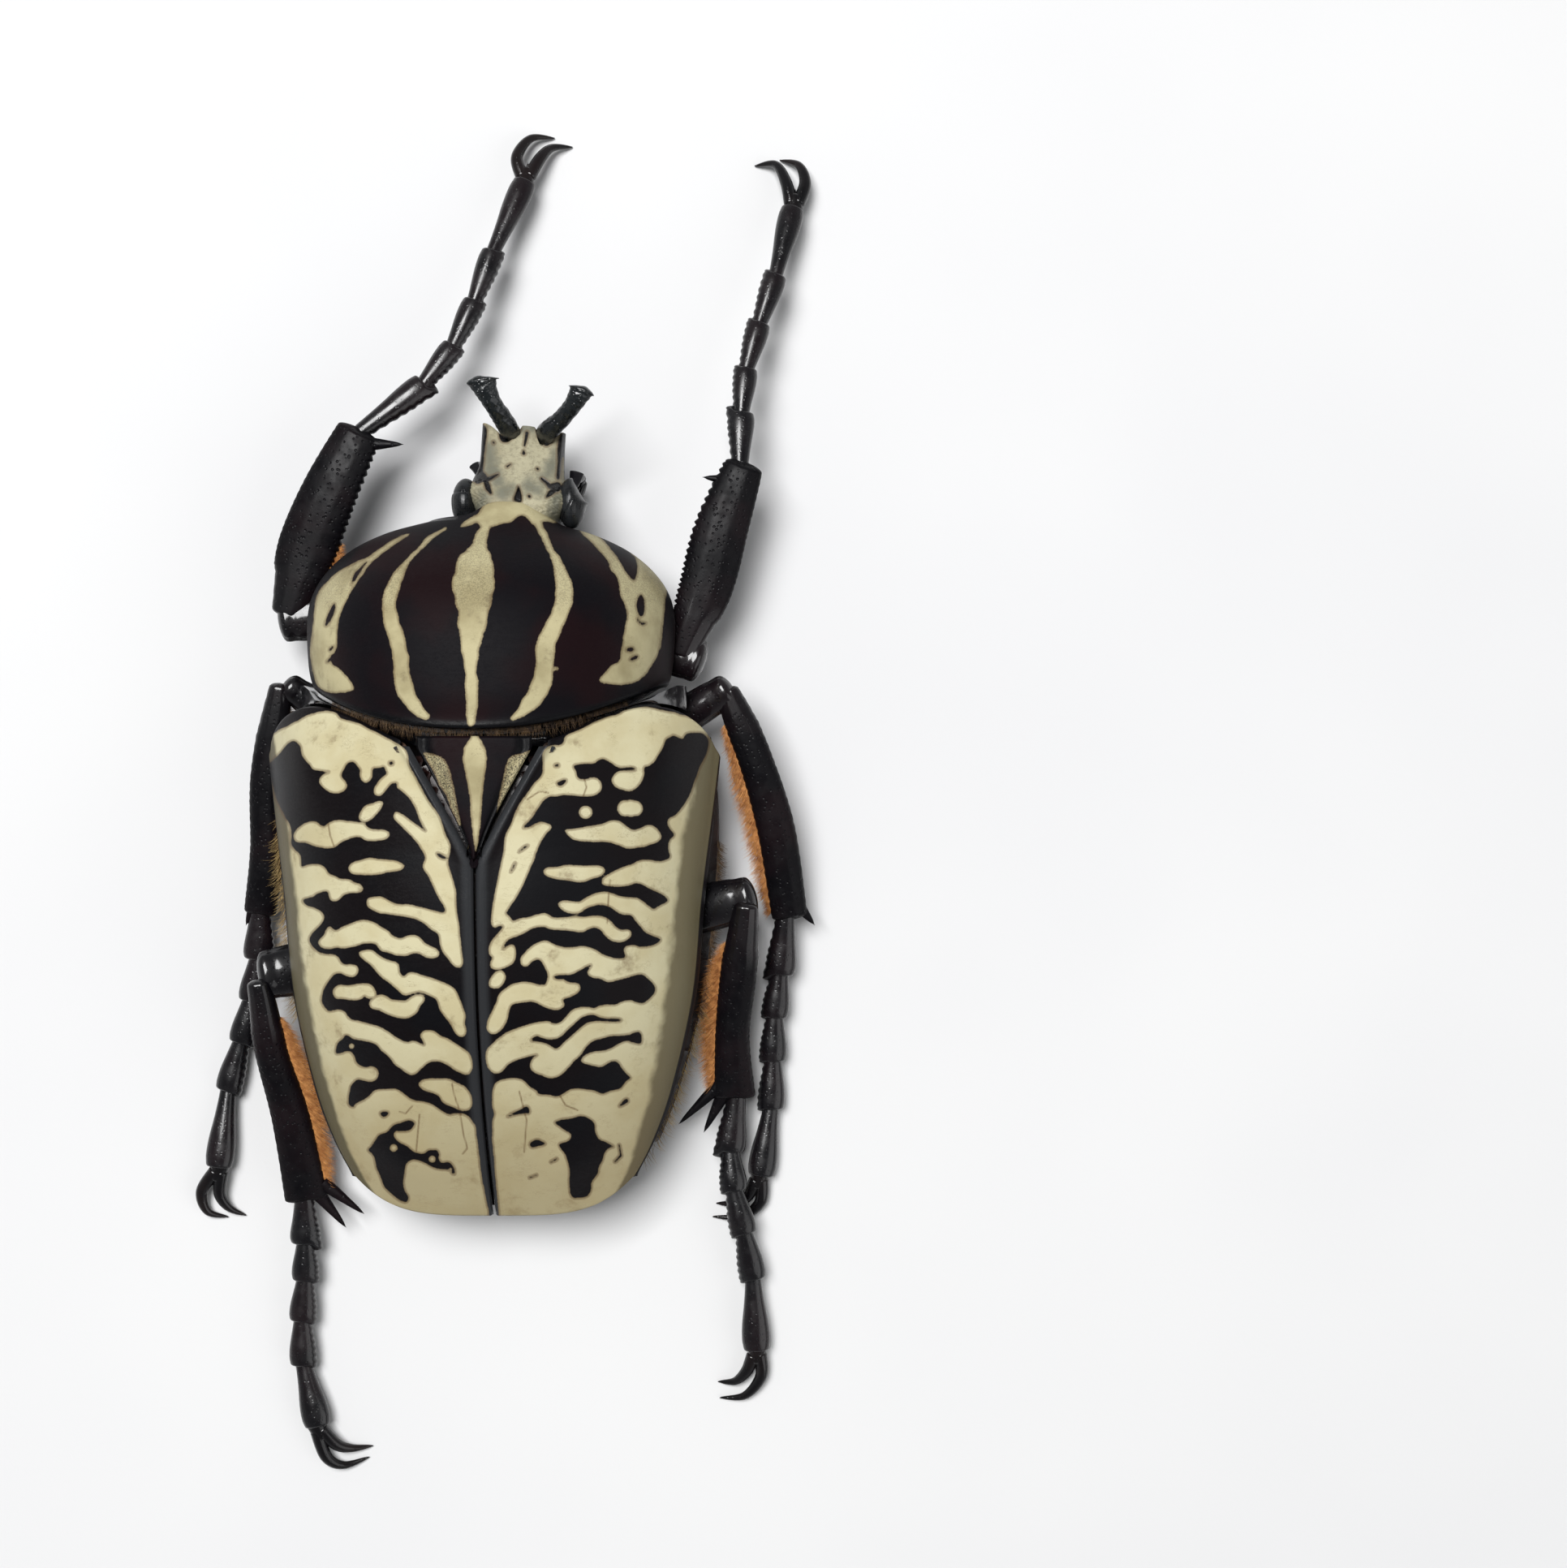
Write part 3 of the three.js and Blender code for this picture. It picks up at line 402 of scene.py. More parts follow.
LEFT_CREAM = [
    # shoulder patch with the band along the scutellum
    [
        (300, 930), (320, 915), (336, 905), (345, 899), (356, 894), (366, 888), (380, 881), (392, 877),
        (406, 876), (415, 879), (420, 886), (439, 890), (451, 896), (468, 905), (482, 912), (498, 921),
        (503, 929), (503, 941), (510, 953), (519, 971), (527, 986), (538, 1000), (545, 1014), (548, 1028),
        (555, 1040), (555, 1049), (552, 1059), (553, 1068), (557, 1080), (560, 1090), (562, 1100),
        (562, 1117), (564, 1130), (566, 1143), (567, 1157), (569, 1173), (571, 1187), (568, 1192),
        (562, 1192), (557, 1188), (552, 1180), (545, 1173), (542, 1163), (541, 1152), (537, 1148),
        (530, 1144), (522, 1137), (513, 1132), (502, 1130), (490, 1128), (478, 1126), (467, 1125),
        (460, 1121), (453, 1117), (452, 1112), (453, 1107), (460, 1105), (473, 1105), (482, 1112),
        (493, 1115), (502, 1114), (515, 1117), (528, 1120), (540, 1124), (549, 1125), (548, 1118),
        (543, 1110), (537, 1100), (531, 1087), (529, 1080), (522, 1071), (521, 1066), (525, 1057),
        (520, 1047), (512, 1035), (501, 1024), (493, 1016), (485, 1009), (485, 1003), (488, 1000),
        (494, 1002), (503, 1009), (517, 1019), (526, 1025), (522, 1020), (517, 1010), (513, 998),
        (508, 988), (501, 979), (494, 974), (489, 970), (490, 964), (482, 965), (477, 971), (472, 978),
        (467, 981), (461, 979), (461, 971), (467, 962), (472, 957), (477, 953), (475, 949), (474, 944),
        (467, 946), (458, 946), (459, 955), (456, 962), (450, 965), (445, 961), (443, 955), (445, 948),
        (441, 945), (437, 939), (432, 938), (427, 941), (425, 946), (421, 952), (420, 957), (426, 963),
        (428, 969), (424, 975), (415, 978), (405, 976), (397, 969), (393, 963), (395, 957), (401, 953),
        (407, 951), (399, 950), (386, 949), (382, 943), (376, 936), (372, 929), (371, 920), (367, 915),
        (360, 912), (352, 918), (346, 927), (338, 935), (320, 950), (300, 960),
    ],
    [
        (473, 988), (467, 987), (458, 990), (449, 993), (443, 1002), (442, 1010), (449, 1014), (458, 1010),
        (465, 1002), (470, 995),
    ],
    [
        (362, 1028), (366, 1021), (377, 1013), (389, 1012), (395, 1017), (400, 1019), (406, 1013),
        (418, 1010), (430, 1012), (442, 1013), (449, 1014), (452, 1019), (461, 1023), (472, 1022),
        (479, 1025), (480, 1030), (474, 1035), (463, 1036), (451, 1036), (442, 1030), (432, 1033),
        (422, 1037), (415, 1042), (410, 1045), (399, 1045), (387, 1042), (377, 1038), (365, 1038),
        (362, 1033),
    ],
    [
        (429, 1069), (434, 1063), (442, 1060), (455, 1057), (468, 1059), (486, 1060), (496, 1064),
        (499, 1068), (493, 1073), (479, 1074), (465, 1078), (448, 1078), (434, 1077), (430, 1073),
    ],
    [
        (392, 1160), (395, 1156), (400, 1152), (402, 1145), (406, 1141), (410, 1145), (414, 1147),
        (422, 1142), (432, 1138), (442, 1134), (453, 1134), (462, 1137), (472, 1144), (480, 1148),
        (483, 1153), (493, 1157), (502, 1153), (510, 1152), (518, 1155), (523, 1162), (532, 1167),
        (539, 1170), (542, 1175), (539, 1180), (530, 1181), (522, 1178), (515, 1174), (507, 1175),
        (500, 1178), (488, 1177), (480, 1174), (470, 1172), (466, 1167), (462, 1162), (450, 1162),
        (440, 1165), (433, 1167), (423, 1169), (413, 1167), (407, 1170), (398, 1168), (393, 1164),
    ],
    [
        (442, 1176), (443, 1172), (452, 1170), (460, 1171), (465, 1176), (472, 1181), (482, 1184),
        (488, 1185), (492, 1189), (492, 1197), (495, 1202), (499, 1203), (502, 1199), (509, 1198),
        (520, 1202), (532, 1205), (545, 1210), (555, 1214), (562, 1220), (566, 1230), (571, 1242),
        (574, 1252), (572, 1260), (575, 1270), (573, 1276), (568, 1278), (562, 1275), (557, 1265),
        (550, 1255), (542, 1245), (540, 1237), (537, 1230), (528, 1226), (518, 1221), (508, 1224),
        (499, 1227), (492, 1222), (485, 1215), (478, 1209), (472, 1206), (465, 1199), (460, 1192),
        (455, 1187), (447, 1182),
    ],
    [
        (410, 1222), (412, 1217), (418, 1213), (427, 1215), (437, 1213), (447, 1212), (455, 1212),
        (462, 1218), (464, 1227), (461, 1230), (453, 1230), (449, 1227), (447, 1229), (440, 1233),
        (430, 1232), (422, 1230), (415, 1231), (411, 1227),
    ],
    [
        (454, 1237), (457, 1232), (463, 1228), (469, 1225), (475, 1227), (482, 1232), (490, 1232),
        (499, 1234), (504, 1230), (512, 1226), (520, 1225), (524, 1230), (522, 1235), (517, 1240),
        (515, 1247), (508, 1252), (501, 1255), (490, 1254), (480, 1251), (472, 1247), (467, 1244),
        (458, 1243),
    ],
    [
        (515, 1337), (518, 1332), (528, 1329), (540, 1329), (553, 1329), (562, 1334), (572, 1338),
        (578, 1345), (582, 1353), (582, 1363), (578, 1368), (570, 1369), (560, 1365), (550, 1361),
        (544, 1357), (541, 1350), (533, 1346), (523, 1344),
    ],
    # the broad band along the outer margin, with its fingers
    [
        (240, 930), (300, 940), (334, 957), (335, 965), (340, 985), (347, 998), (352, 1009), (358, 1017),
        (359, 1030), (358, 1040), (363, 1048), (369, 1052), (371, 1059), (371, 1069), (378, 1066),
        (385, 1065), (394, 1065), (401, 1069), (404, 1076), (413, 1080), (420, 1083), (430, 1083),
        (437, 1088), (445, 1090), (448, 1095), (445, 1100), (433, 1100), (423, 1102), (420, 1107),
        (413, 1111), (407, 1109), (405, 1103), (404, 1098), (397, 1098), (389, 1102), (385, 1105),
        (376, 1107), (372, 1110), (378, 1116), (388, 1119), (396, 1123), (400, 1130), (397, 1137),
        (390, 1144), (384, 1150), (380, 1158), (384, 1165), (390, 1172), (400, 1176), (410, 1176),
        (417, 1179), (420, 1186), (425, 1189), (433, 1188), (440, 1190), (442, 1195), (439, 1202),
        (433, 1204), (425, 1202), (419, 1198), (412, 1200), (405, 1208), (400, 1217), (396, 1227),
        (396, 1235), (400, 1242), (405, 1247), (412, 1245), (420, 1244), (426, 1247), (428, 1252),
        (433, 1257), (442, 1258), (453, 1261), (467, 1265), (480, 1272), (490, 1280), (503, 1285),
        (508, 1282), (515, 1284), (524, 1289), (521, 1282), (518, 1277), (520, 1271), (528, 1269),
        (537, 1271), (543, 1277), (552, 1280), (560, 1285), (570, 1292), (578, 1297), (581, 1303),
        (583, 1313), (580, 1322), (575, 1325), (563, 1320), (553, 1313), (543, 1308), (533, 1307),
        (525, 1311), (518, 1318), (512, 1324), (505, 1325), (497, 1319), (487, 1312), (480, 1302),
        (470, 1295), (465, 1287), (457, 1284), (447, 1282), (435, 1280), (427, 1274), (422, 1280),
        (416, 1284), (414, 1290), (413, 1299), (420, 1298), (428, 1295), (433, 1296), (437, 1302),
        (439, 1310), (447, 1315), (453, 1315), (458, 1314), (464, 1316), (467, 1322), (465, 1329),
        (458, 1333), (450, 1332), (442, 1329), (437, 1332), (432, 1338), (430, 1347), (429, 1358),
        (430, 1362), (436, 1365), (438, 1360), (445, 1357), (452, 1353), (458, 1347), (463, 1343),
        (475, 1342), (487, 1341), (493, 1344), (500, 1350), (508, 1356), (522, 1357), (533, 1361),
        (543, 1368), (552, 1374), (560, 1372), (570, 1372), (577, 1375), (582, 1382), (586, 1387),
        (587, 1397), (590, 1410), (592, 1423), (593, 1440), (595, 1457), (598, 1472), (601, 1485),
        (603, 1500), (603, 1560), (240, 1560),
    ],
]
LEFT_BLACK = [
    [
        (452, 1417), (458, 1412), (463, 1403), (467, 1398), (477, 1395), (482, 1389), (485, 1386),
        (495, 1383), (502, 1380), (508, 1381), (512, 1384), (508, 1391), (503, 1394), (491, 1394),
        (488, 1393), (485, 1397), (487, 1403), (493, 1408), (503, 1412), (508, 1418), (513, 1420),
        (522, 1422), (528, 1417), (535, 1417), (538, 1416), (542, 1422), (540, 1427), (544, 1433),
        (553, 1431), (559, 1437), (562, 1447), (557, 1447), (554, 1441), (540, 1441), (530, 1437),
        (523, 1432), (510, 1428), (502, 1432), (499, 1440), (498, 1450), (497, 1460), (500, 1470),
        (504, 1475), (502, 1482), (493, 1480), (483, 1472), (473, 1463), (470, 1453), (463, 1438),
        (461, 1423),
    ],
    [(467, 1371), (473, 1369), (480, 1370), (476, 1376), (471, 1377)],
    [(537, 1050), (546, 1053), (552, 1058), (546, 1059), (540, 1056)],
    [(479, 939), (485, 938), (485, 942), (480, 943)],
]
LEFT_DOTS = [(433, 1289, 3), (485, 1414.5, 4.5), (532.5, 1428, 4), (555, 1441, 1.5)]
RIGHT_CREAM = [
    # shoulder patch with the band along the scutellum and the hooked bar
    [
        (669, 924), (680, 918), (689, 919), (695, 915), (696, 907), (708, 902), (721, 896), (734, 889),
        (747, 884), (763, 880), (771, 874), (780, 871), (791, 870), (804, 872), (817, 876), (835, 878),
        (850, 890), (845, 900), (821, 909), (818, 918), (813, 928), (806, 939), (800, 944), (793, 945),
        (794, 955), (790, 965), (780, 975), (769, 974), (758, 970), (753, 961), (756, 955), (763, 950),
        (776, 950), (784, 949), (783, 946), (774, 945), (762, 946), (752, 939), (743, 934), (736, 937),
        (733, 941), (721, 941), (708, 942), (706, 945), (710, 950), (711, 959), (721, 961), (730, 958),
        (738, 960), (742, 968), (740, 975), (732, 981), (719, 981), (706, 980), (695, 979), (686, 981),
        (675, 981), (667, 989), (660, 1000), (654, 1009), (647, 1016), (644, 1021), (654, 1019),
        (660, 1015), (668, 1012), (679, 1016), (680, 1021), (673, 1026), (668, 1035), (662, 1046),
        (658, 1059), (651, 1074), (647, 1085), (641, 1097), (634, 1109), (626, 1120), (623, 1126),
        (628, 1129), (632, 1136), (641, 1131), (651, 1131), (661, 1127), (670, 1125), (674, 1126),
        (682, 1131), (695, 1131), (707, 1129), (720, 1130), (732, 1128), (745, 1130), (753, 1135),
        (757, 1141), (765, 1146), (774, 1145), (778, 1148), (778, 1154), (772, 1159), (763, 1161),
        (753, 1159), (745, 1153), (741, 1146), (734, 1142), (726, 1144), (718, 1149), (705, 1147),
        (691, 1146), (678, 1145), (670, 1141), (657, 1143), (647, 1149), (638, 1153), (628, 1156),
        (621, 1163), (619, 1171), (625, 1166), (630, 1163), (635, 1166), (636, 1174), (634, 1184),
        (628, 1190), (618, 1194), (609, 1195), (604, 1191), (604, 1186), (608, 1180), (603, 1176),
        (602, 1168), (605, 1161), (612, 1152), (617, 1146), (621, 1141), (616, 1140), (609, 1144),
        (605, 1138), (606, 1124), (608, 1111), (611, 1095), (614, 1080), (618, 1061), (621, 1046),
        (622, 1030), (630, 1016), (636, 998), (645, 983), (654, 972), (660, 963), (669, 955), (669, 941),
    ],
    [
        (696, 1024), (697, 1022), (713, 1021), (726, 1018), (741, 1016), (752, 1011), (763, 1011),
        (771, 1017), (780, 1024), (789, 1021), (799, 1016), (808, 1019), (815, 1028), (814, 1035),
        (804, 1040), (791, 1044), (772, 1046), (763, 1041), (747, 1037), (730, 1037), (710, 1036),
        (702, 1032),
    ],
    [
        (669, 1074), (673, 1069), (686, 1069), (699, 1065), (715, 1067), (734, 1066), (743, 1068),
        (746, 1073), (741, 1080), (730, 1082), (717, 1088), (702, 1085), (686, 1083), (673, 1080),
    ],
    [(602, 1215), (603, 1207), (611, 1197), (619, 1195), (624, 1202), (621, 1211), (615, 1218), (607, 1218)],
    # the broad band along the outer margin, with its fingers
    [
        (817, 876), (830, 880), (843, 881), (856, 885), (867, 891), (880, 900), (940, 900), (960, 1000),
        (960, 1400), (860, 1560), (700, 1560), (615, 1560), (615, 1495), (613, 1474), (611, 1452),
        (609, 1434), (607, 1413), (606, 1395), (607, 1380), (610, 1373), (607, 1366), (606, 1352),
        (608, 1338), (613, 1332), (621, 1330), (634, 1328), (646, 1331), (652, 1339), (662, 1344),
        (663, 1349), (677, 1349), (686, 1352), (695, 1348), (702, 1342), (713, 1341), (724, 1343),
        (734, 1344), (742, 1349), (752, 1344), (764, 1342), (768, 1337), (772, 1332), (778, 1328),
        (772, 1323), (766, 1316), (762, 1308), (755, 1307), (749, 1310), (740, 1315), (727, 1312),
        (716, 1309), (717, 1304), (720, 1301), (730, 1296), (740, 1295), (749, 1294), (761, 1287),
        (772, 1282), (782, 1286), (791, 1286), (791, 1278), (789, 1271), (782, 1272), (772, 1276),
        (753, 1276), (740, 1280), (730, 1282), (721, 1291), (715, 1301), (707, 1307), (704, 1312),
        (697, 1319), (688, 1327), (679, 1329), (670, 1326), (659, 1322), (654, 1318), (653, 1310),
        (657, 1303), (664, 1299), (654, 1301), (639, 1305), (627, 1310), (620, 1319), (614, 1323),
        (607, 1322), (600, 1314), (598, 1303), (600, 1293), (607, 1286), (616, 1278), (626, 1271),
        (638, 1267), (651, 1262), (665, 1259), (676, 1258), (682, 1262), (691, 1260), (699, 1251),
        (705, 1244), (715, 1241), (728, 1241), (732, 1243), (740, 1239), (747, 1238), (759, 1239),
        (766, 1234), (776, 1232), (784, 1235), (792, 1237), (800, 1231), (807, 1224), (808, 1216),
        (800, 1206), (790, 1199), (778, 1203), (766, 1206), (750, 1211), (740, 1205), (730, 1205),
        (723, 1200), (726, 1193), (730, 1188), (722, 1191), (715, 1195), (705, 1201), (695, 1201),
        (684, 1202), (682, 1205), (688, 1207), (695, 1206), (699, 1211), (713, 1211), (716, 1217),
        (713, 1223), (703, 1229), (692, 1231), (696, 1238), (693, 1242), (686, 1245), (678, 1243),
        (668, 1239), (657, 1233), (643, 1235), (631, 1237), (627, 1245), (625, 1258), (618, 1269),
        (611, 1274), (604, 1274), (599, 1267), (601, 1257), (607, 1245), (612, 1234), (615, 1225),
        (622, 1219), (630, 1213), (641, 1210), (651, 1210), (661, 1213), (670, 1214), (673, 1213),
        (676, 1201), (671, 1191), (668, 1185), (663, 1181), (655, 1185), (650, 1191), (643, 1190),
        (641, 1182), (645, 1176), (651, 1169), (661, 1162), (672, 1158), (678, 1161), (688, 1166),
        (703, 1168), (713, 1166), (722, 1166), (734, 1170), (743, 1177), (753, 1180), (766, 1182),
        (772, 1179), (769, 1172), (770, 1166), (780, 1164), (791, 1168), (809, 1164), (816, 1157),
        (805, 1153), (794, 1148), (790, 1142), (782, 1133), (778, 1127), (765, 1127), (753, 1118),
        (743, 1114), (734, 1115), (722, 1119), (716, 1124), (709, 1126), (699, 1125), (690, 1119),
        (687, 1114), (691, 1110), (701, 1110), (713, 1112), (718, 1109), (728, 1103), (740, 1099),
        (749, 1099), (759, 1103), (772, 1106), (786, 1106), (791, 1110), (801, 1118), (806, 1121),
        (811, 1117), (824, 1111), (821, 1105), (815, 1101), (801, 1095), (793, 1090), (784, 1087),
        (772, 1092), (753, 1092), (742, 1090), (742, 1086), (743, 1081), (756, 1074), (769, 1068),
        (780, 1065), (787, 1060), (800, 1059), (811, 1062), (821, 1060), (827, 1056), (823, 1046),
        (825, 1035), (832, 1029), (828, 1024), (823, 1018), (823, 1009), (835, 1003), (843, 992),
        (850, 981), (856, 963), (861, 948), (868, 935), (873, 922), (874, 911), (867, 903), (856, 902),
        (845, 903), (842, 911), (837, 909), (829, 905), (821, 909),
    ],
]
RIGHT_BLACK = [
    [
        (654, 1281), (661, 1275), (668, 1279), (680, 1281), (691, 1278), (699, 1269), (709, 1260),
        (718, 1252), (730, 1249), (740, 1254), (751, 1255), (766, 1255), (765, 1259), (749, 1259),
        (734, 1258), (722, 1261), (715, 1267), (705, 1276), (695, 1284), (689, 1291), (684, 1293),
        (676, 1287), (665, 1284), (655, 1283),
    ],
    [
        (682, 1383), (691, 1379), (704, 1378), (716, 1374), (725, 1377), (734, 1384), (733, 1395),
        (738, 1404), (747, 1407), (758, 1413), (751, 1414), (745, 1420), (743, 1429), (738, 1438),
        (737, 1447), (729, 1456), (729, 1467), (724, 1475), (713, 1476), (706, 1477), (702, 1470),
        (701, 1456), (702, 1442), (699, 1429), (695, 1420), (689, 1413), (689, 1409), (698, 1407),
        (704, 1402), (704, 1397), (695, 1392), (689, 1388),
    ],
    [(623, 1377), (630, 1372), (639, 1368), (651, 1361), (654, 1372), (646, 1372), (634, 1374)],
    [(652, 1408), (661, 1403), (668, 1406), (674, 1410), (663, 1413), (654, 1415)],
    [(684, 965), (697, 959), (699, 963), (691, 970)],
    [(637, 1052), (644, 1043), (653, 1040), (647, 1046)],
    [(628, 1077), (631, 1068), (636, 1061), (634, 1070)],
    [(771, 1352), (776, 1357), (768, 1362), (761, 1364)],
    [(683, 941), (689, 941), (689, 945), (683, 945)],
]
RIGHT_DOTS = [(721.7, 1001, 8), (771, 996, 10), (777, 996, 10.5), (783, 996, 9)]
RIGHT_LINES = [
    [(679, 1432, 1), (686, 1428, 1)], [(653, 1451, 1), (661, 1448, 1)],
    [(763, 1411, 1), (765, 1424, 1.4), (758, 1431, 1)],
]
# the black along the parting, which both wing cases share
PARTING_BLACK = [
    [(590, 1300, 8), (594, 1350, 11), (597, 1400, 10)],
    [(597, 1400, 9.5), (602, 1450, 8.5), (608, 1490, 6.5)],
]
CRACKS = {
    -1: [
        [(517, 1373), (515, 1395), (513, 1418)], [(567, 1373), (571, 1397), (576, 1415), (570, 1422)],
        [(557, 1335), (560, 1350), (568, 1373)], [(492, 1370), (500, 1372), (508, 1363)],
        [(404, 1012), (407, 1030), (412, 1044)],
    ],
    1: [
        [(752, 1084), (750, 1107), (748, 1138)],
        [(720, 960), (723, 970), (719, 981)], [(650, 985), (665, 975), (676, 977)],
        [(640, 1345), (649, 1380), (646, 1420)],
        [(690, 1350), (697, 1362), (712, 1368)],
    ],
}


def new_group(name, inputs, outputs):
    """A node group with named sockets: its tree, what goes in and what comes out."""
    made = bpy.data.node_groups.new(name, "ShaderNodeTree")
    for in_out, sockets in (("INPUT", inputs), ("OUTPUT", outputs)):
        for label, kind in sockets.items():
            made.interface.new_socket(label, in_out=in_out, socket_type="NodeSocket" + kind)
    return made, made.nodes.new("NodeGroupInput").outputs, made.nodes.new("NodeGroupOutput").inputs


def use_group(tree, group, **inputs):
    made = tree.nodes.new("ShaderNodeGroup")
    made.node_tree = group
    for key, value in inputs.items():
        if isinstance(value, bpy.types.NodeSocket):
            tree.links.new(value, made.inputs[key])
        else:
            made.inputs[key].default_value = value
    return made.outputs


def stored(tree, name):
    return add_node(tree, "Attribute", attribute_name=name).outputs["Fac"]


# the torn edge of the cream bloom, with the thin brown line where it meets black
bloom_edge, given, result = new_group(
    "bloom_edge", {"Where": "Vector", "Depth": "Float", "Ragged": "Float"},
    {"Cream": "Float", "Rim": "Float"},
)
slow = calculate(bloom_edge, "SUBTRACT", noise_of(bloom_edge, given["Where"], 900, 2), 0.5)
quick = calculate(bloom_edge, "SUBTRACT", noise_of(bloom_edge, given["Where"], 4200, 3, 0.7), 0.5)
shift = calculate(bloom_edge, "MULTIPLY_ADD", quick, 0.8, calculate(bloom_edge, "MULTIPLY", slow, 1.2))
edge = calculate(bloom_edge, "MULTIPLY_ADD", shift, given["Ragged"], given["Depth"])
bloom_edge.links.new(rising(bloom_edge, edge, -0.9, 0.9), result["Cream"])
band = calculate(bloom_edge, "ABSOLUTE", calculate(bloom_edge, "SUBTRACT", edge, 0.9))
bloom_edge.links.new(rising(bloom_edge, band, 0.3, 2.2, 1.0, 0.0), result["Rim"])

# the cream bloom itself: ivory, clouded, with fine brown specks and scratches
bloom, given, result = new_group(
    "bloom", {"Where": "Vector", "Light": "Color", "Dark": "Color", "Stain": "Color"},
    {"Color": "Color", "Height": "Float"},
)
clouds = noise_of(bloom, given["Where"], 170, 4, 0.55)
base = mixed(bloom, rising(bloom, clouds, 0.38, 0.68), given["Light"], given["Dark"])
grain = noise_of(bloom, given["Where"], 5200, 4, 0.7)
base = mixed(bloom, rising(bloom, grain, 0.50, 0.80, 0, 0.35), base, given["Dark"])
scratch = noise_of(bloom, given["Where"], 900, 5, 0.8, (0.35, 1.6, 1.0))
scratch = calculate(bloom, "ABSOLUTE", calculate(bloom, "SUBTRACT", scratch, 0.5))
lines = rising(bloom, scratch, 0, 0.009, 1, 0)
patchy = rising(bloom, noise_of(bloom, given["Where"], 420, 2), 0.52, 0.66)
scored = calculate(bloom, "MULTIPLY", lines, calculate(bloom, "MULTIPLY", patchy, 0.85))
base = mixed(bloom, scored, base, given["Stain"])
stain = rising(bloom, noise_of(bloom, given["Where"], 260, 5, 0.7), 0.56, 0.76, 0, 0.6)
bloom.links.new(mixed(bloom, stain, base, given["Stain"]), result["Color"])
relief = calculate(bloom, "SUBTRACT", grain, calculate(bloom, "MULTIPLY", lines, 0.5))
bloom.links.new(relief, result["Height"])

CREAM_LIGHT = colour(194, 187, 154)
CREAM_DARK = colour(184, 174, 138)
CREAM_STAIN = colour(108, 88, 60)
RIM_BROWN = colour(84, 58, 34)
VELVET_BLACK = colour(13, 9, 11)
BLUE_BLACK = colour(11, 11, 14)
OLIVE = colour(106, 98, 73)
# a darker olive for the left side band: painted shade on that flank
OLIVE_LEFT_PAINTED_SHADE = colour(82, 75, 54)
OLIVE_REAR = colour(96, 86, 64)
BAND_WIDTH = 3.4


def bloomed(tree, where, ragged, light, dark, stain):
    """A material's cream: its edge (Cream, Rim) and its coat (Color, Height)."""
    edge = use_group(tree, bloom_edge, Where=where, Depth=stored(tree, "cream"), Ragged=ragged)
    return edge, use_group(tree, bloom, Where=where, Light=light, Dark=dark, Stain=stain)


def cream_on_black(tree, pattern, black, cream, brown_share):
    skin = mixed(tree, pattern["Cream"], black, cream)
    return mixed(tree, calculate(tree, "MULTIPLY", pattern["Rim"], brown_share), skin, RIM_BROWN)


wing_case, tree, shader, where = new_material("wing_case")
pattern, coat = bloomed(tree, where, 1.6, CREAM_LIGHT, CREAM_DARK, CREAM_STAIN)
margin = stored(tree, "margin")
to_margin = calculate(tree, "MULTIPLY_ADD", noise_of(tree, where, 300, 3), 1.6, margin)
olive_mask = rising(tree, to_margin, BAND_WIDTH, BAND_WIDTH + 0.9, 0.95, 0.0)
place = add_node(tree, "SeparateXYZ", {0: where})
rear = rising(tree, place.outputs[1], -0.034, -0.012, 1.0, 0.0)
# painted shade: the olive side band is made darker on the left wing case (x below 0), as if that flank lay
# in shade
left = rising(tree, place.outputs[0], -0.012, 0.0, 1.0, 0.0)
cream = mixed(tree, calculate(tree, "MULTIPLY", rear, 0.6), coat["Color"], colour(144, 128, 92))
olive = mixed(tree, left, mixed(tree, rear, OLIVE, OLIVE_REAR), OLIVE_LEFT_PAINTED_SHADE)
cream = mixed(tree, olive_mask, cream, olive)
crack = rising(tree, stored(tree, "crack"), -1.4, 0.2)
cream = mixed(tree, calculate(tree, "MULTIPLY", crack, 0.75), cream, CREAM_STAIN)
worn = noise_of(tree, where, 90, 3)
black = mixed(tree, rising(tree, worn, 0.42, 0.62), VELVET_BLACK, BLUE_BLACK)
suture = rising(tree, stored(tree, "suture"), 0.7, 1.5, 1, 0)
black = mixed(tree, suture, black, colour(44, 45, 47))
skin = cream_on_black(tree, pattern, black, cream, 0.5)
apex = rising(tree, place.outputs[1], -0.046, -0.040, 1.0, 0.0)
bead = rising(tree, calculate(tree, "MULTIPLY_ADD", apex, -0.35, margin), 0.40, 0.52, 1, 0)
skin = mixed(tree, bead, skin, colour(22, 20, 22))
rough = mixed(tree, pattern["Cream"], grey(0.42), grey(0.46))
rough = mixed(tree, suture, rough, grey(0.22))
pores = noise_of(tree, where, 3800, 2)
height = calculate(tree, "MULTIPLY_ADD", coat["Height"], 0.4, calculate(tree, "MULTIPLY", pores, 0.6))
height = calculate(tree, "SUBTRACT", height, crack)
feed(tree, shader, Base_Color=skin, Roughness=rough, Normal=bump_of(tree, height, 0.35, 0.06))
shader.inputs["Specular IOR Level"].default_value = 0.10

lining, tree, shader, where = new_material("wing_case_lining")
veins = noise_of(tree, where, 400, 4, stretch=(3, 0.6, 1))
brown = mixed(tree, rising(tree, veins, 0.4, 0.6), colour(38, 26, 20), colour(64, 44, 32))
feed(tree, shader, Base_Color=brown, Roughness=0.45, Normal=bump_of(tree, veins, 0.3, 0.1))

ELYTRON_COLUMNS = 150
ELYTRON_ROWS = 250


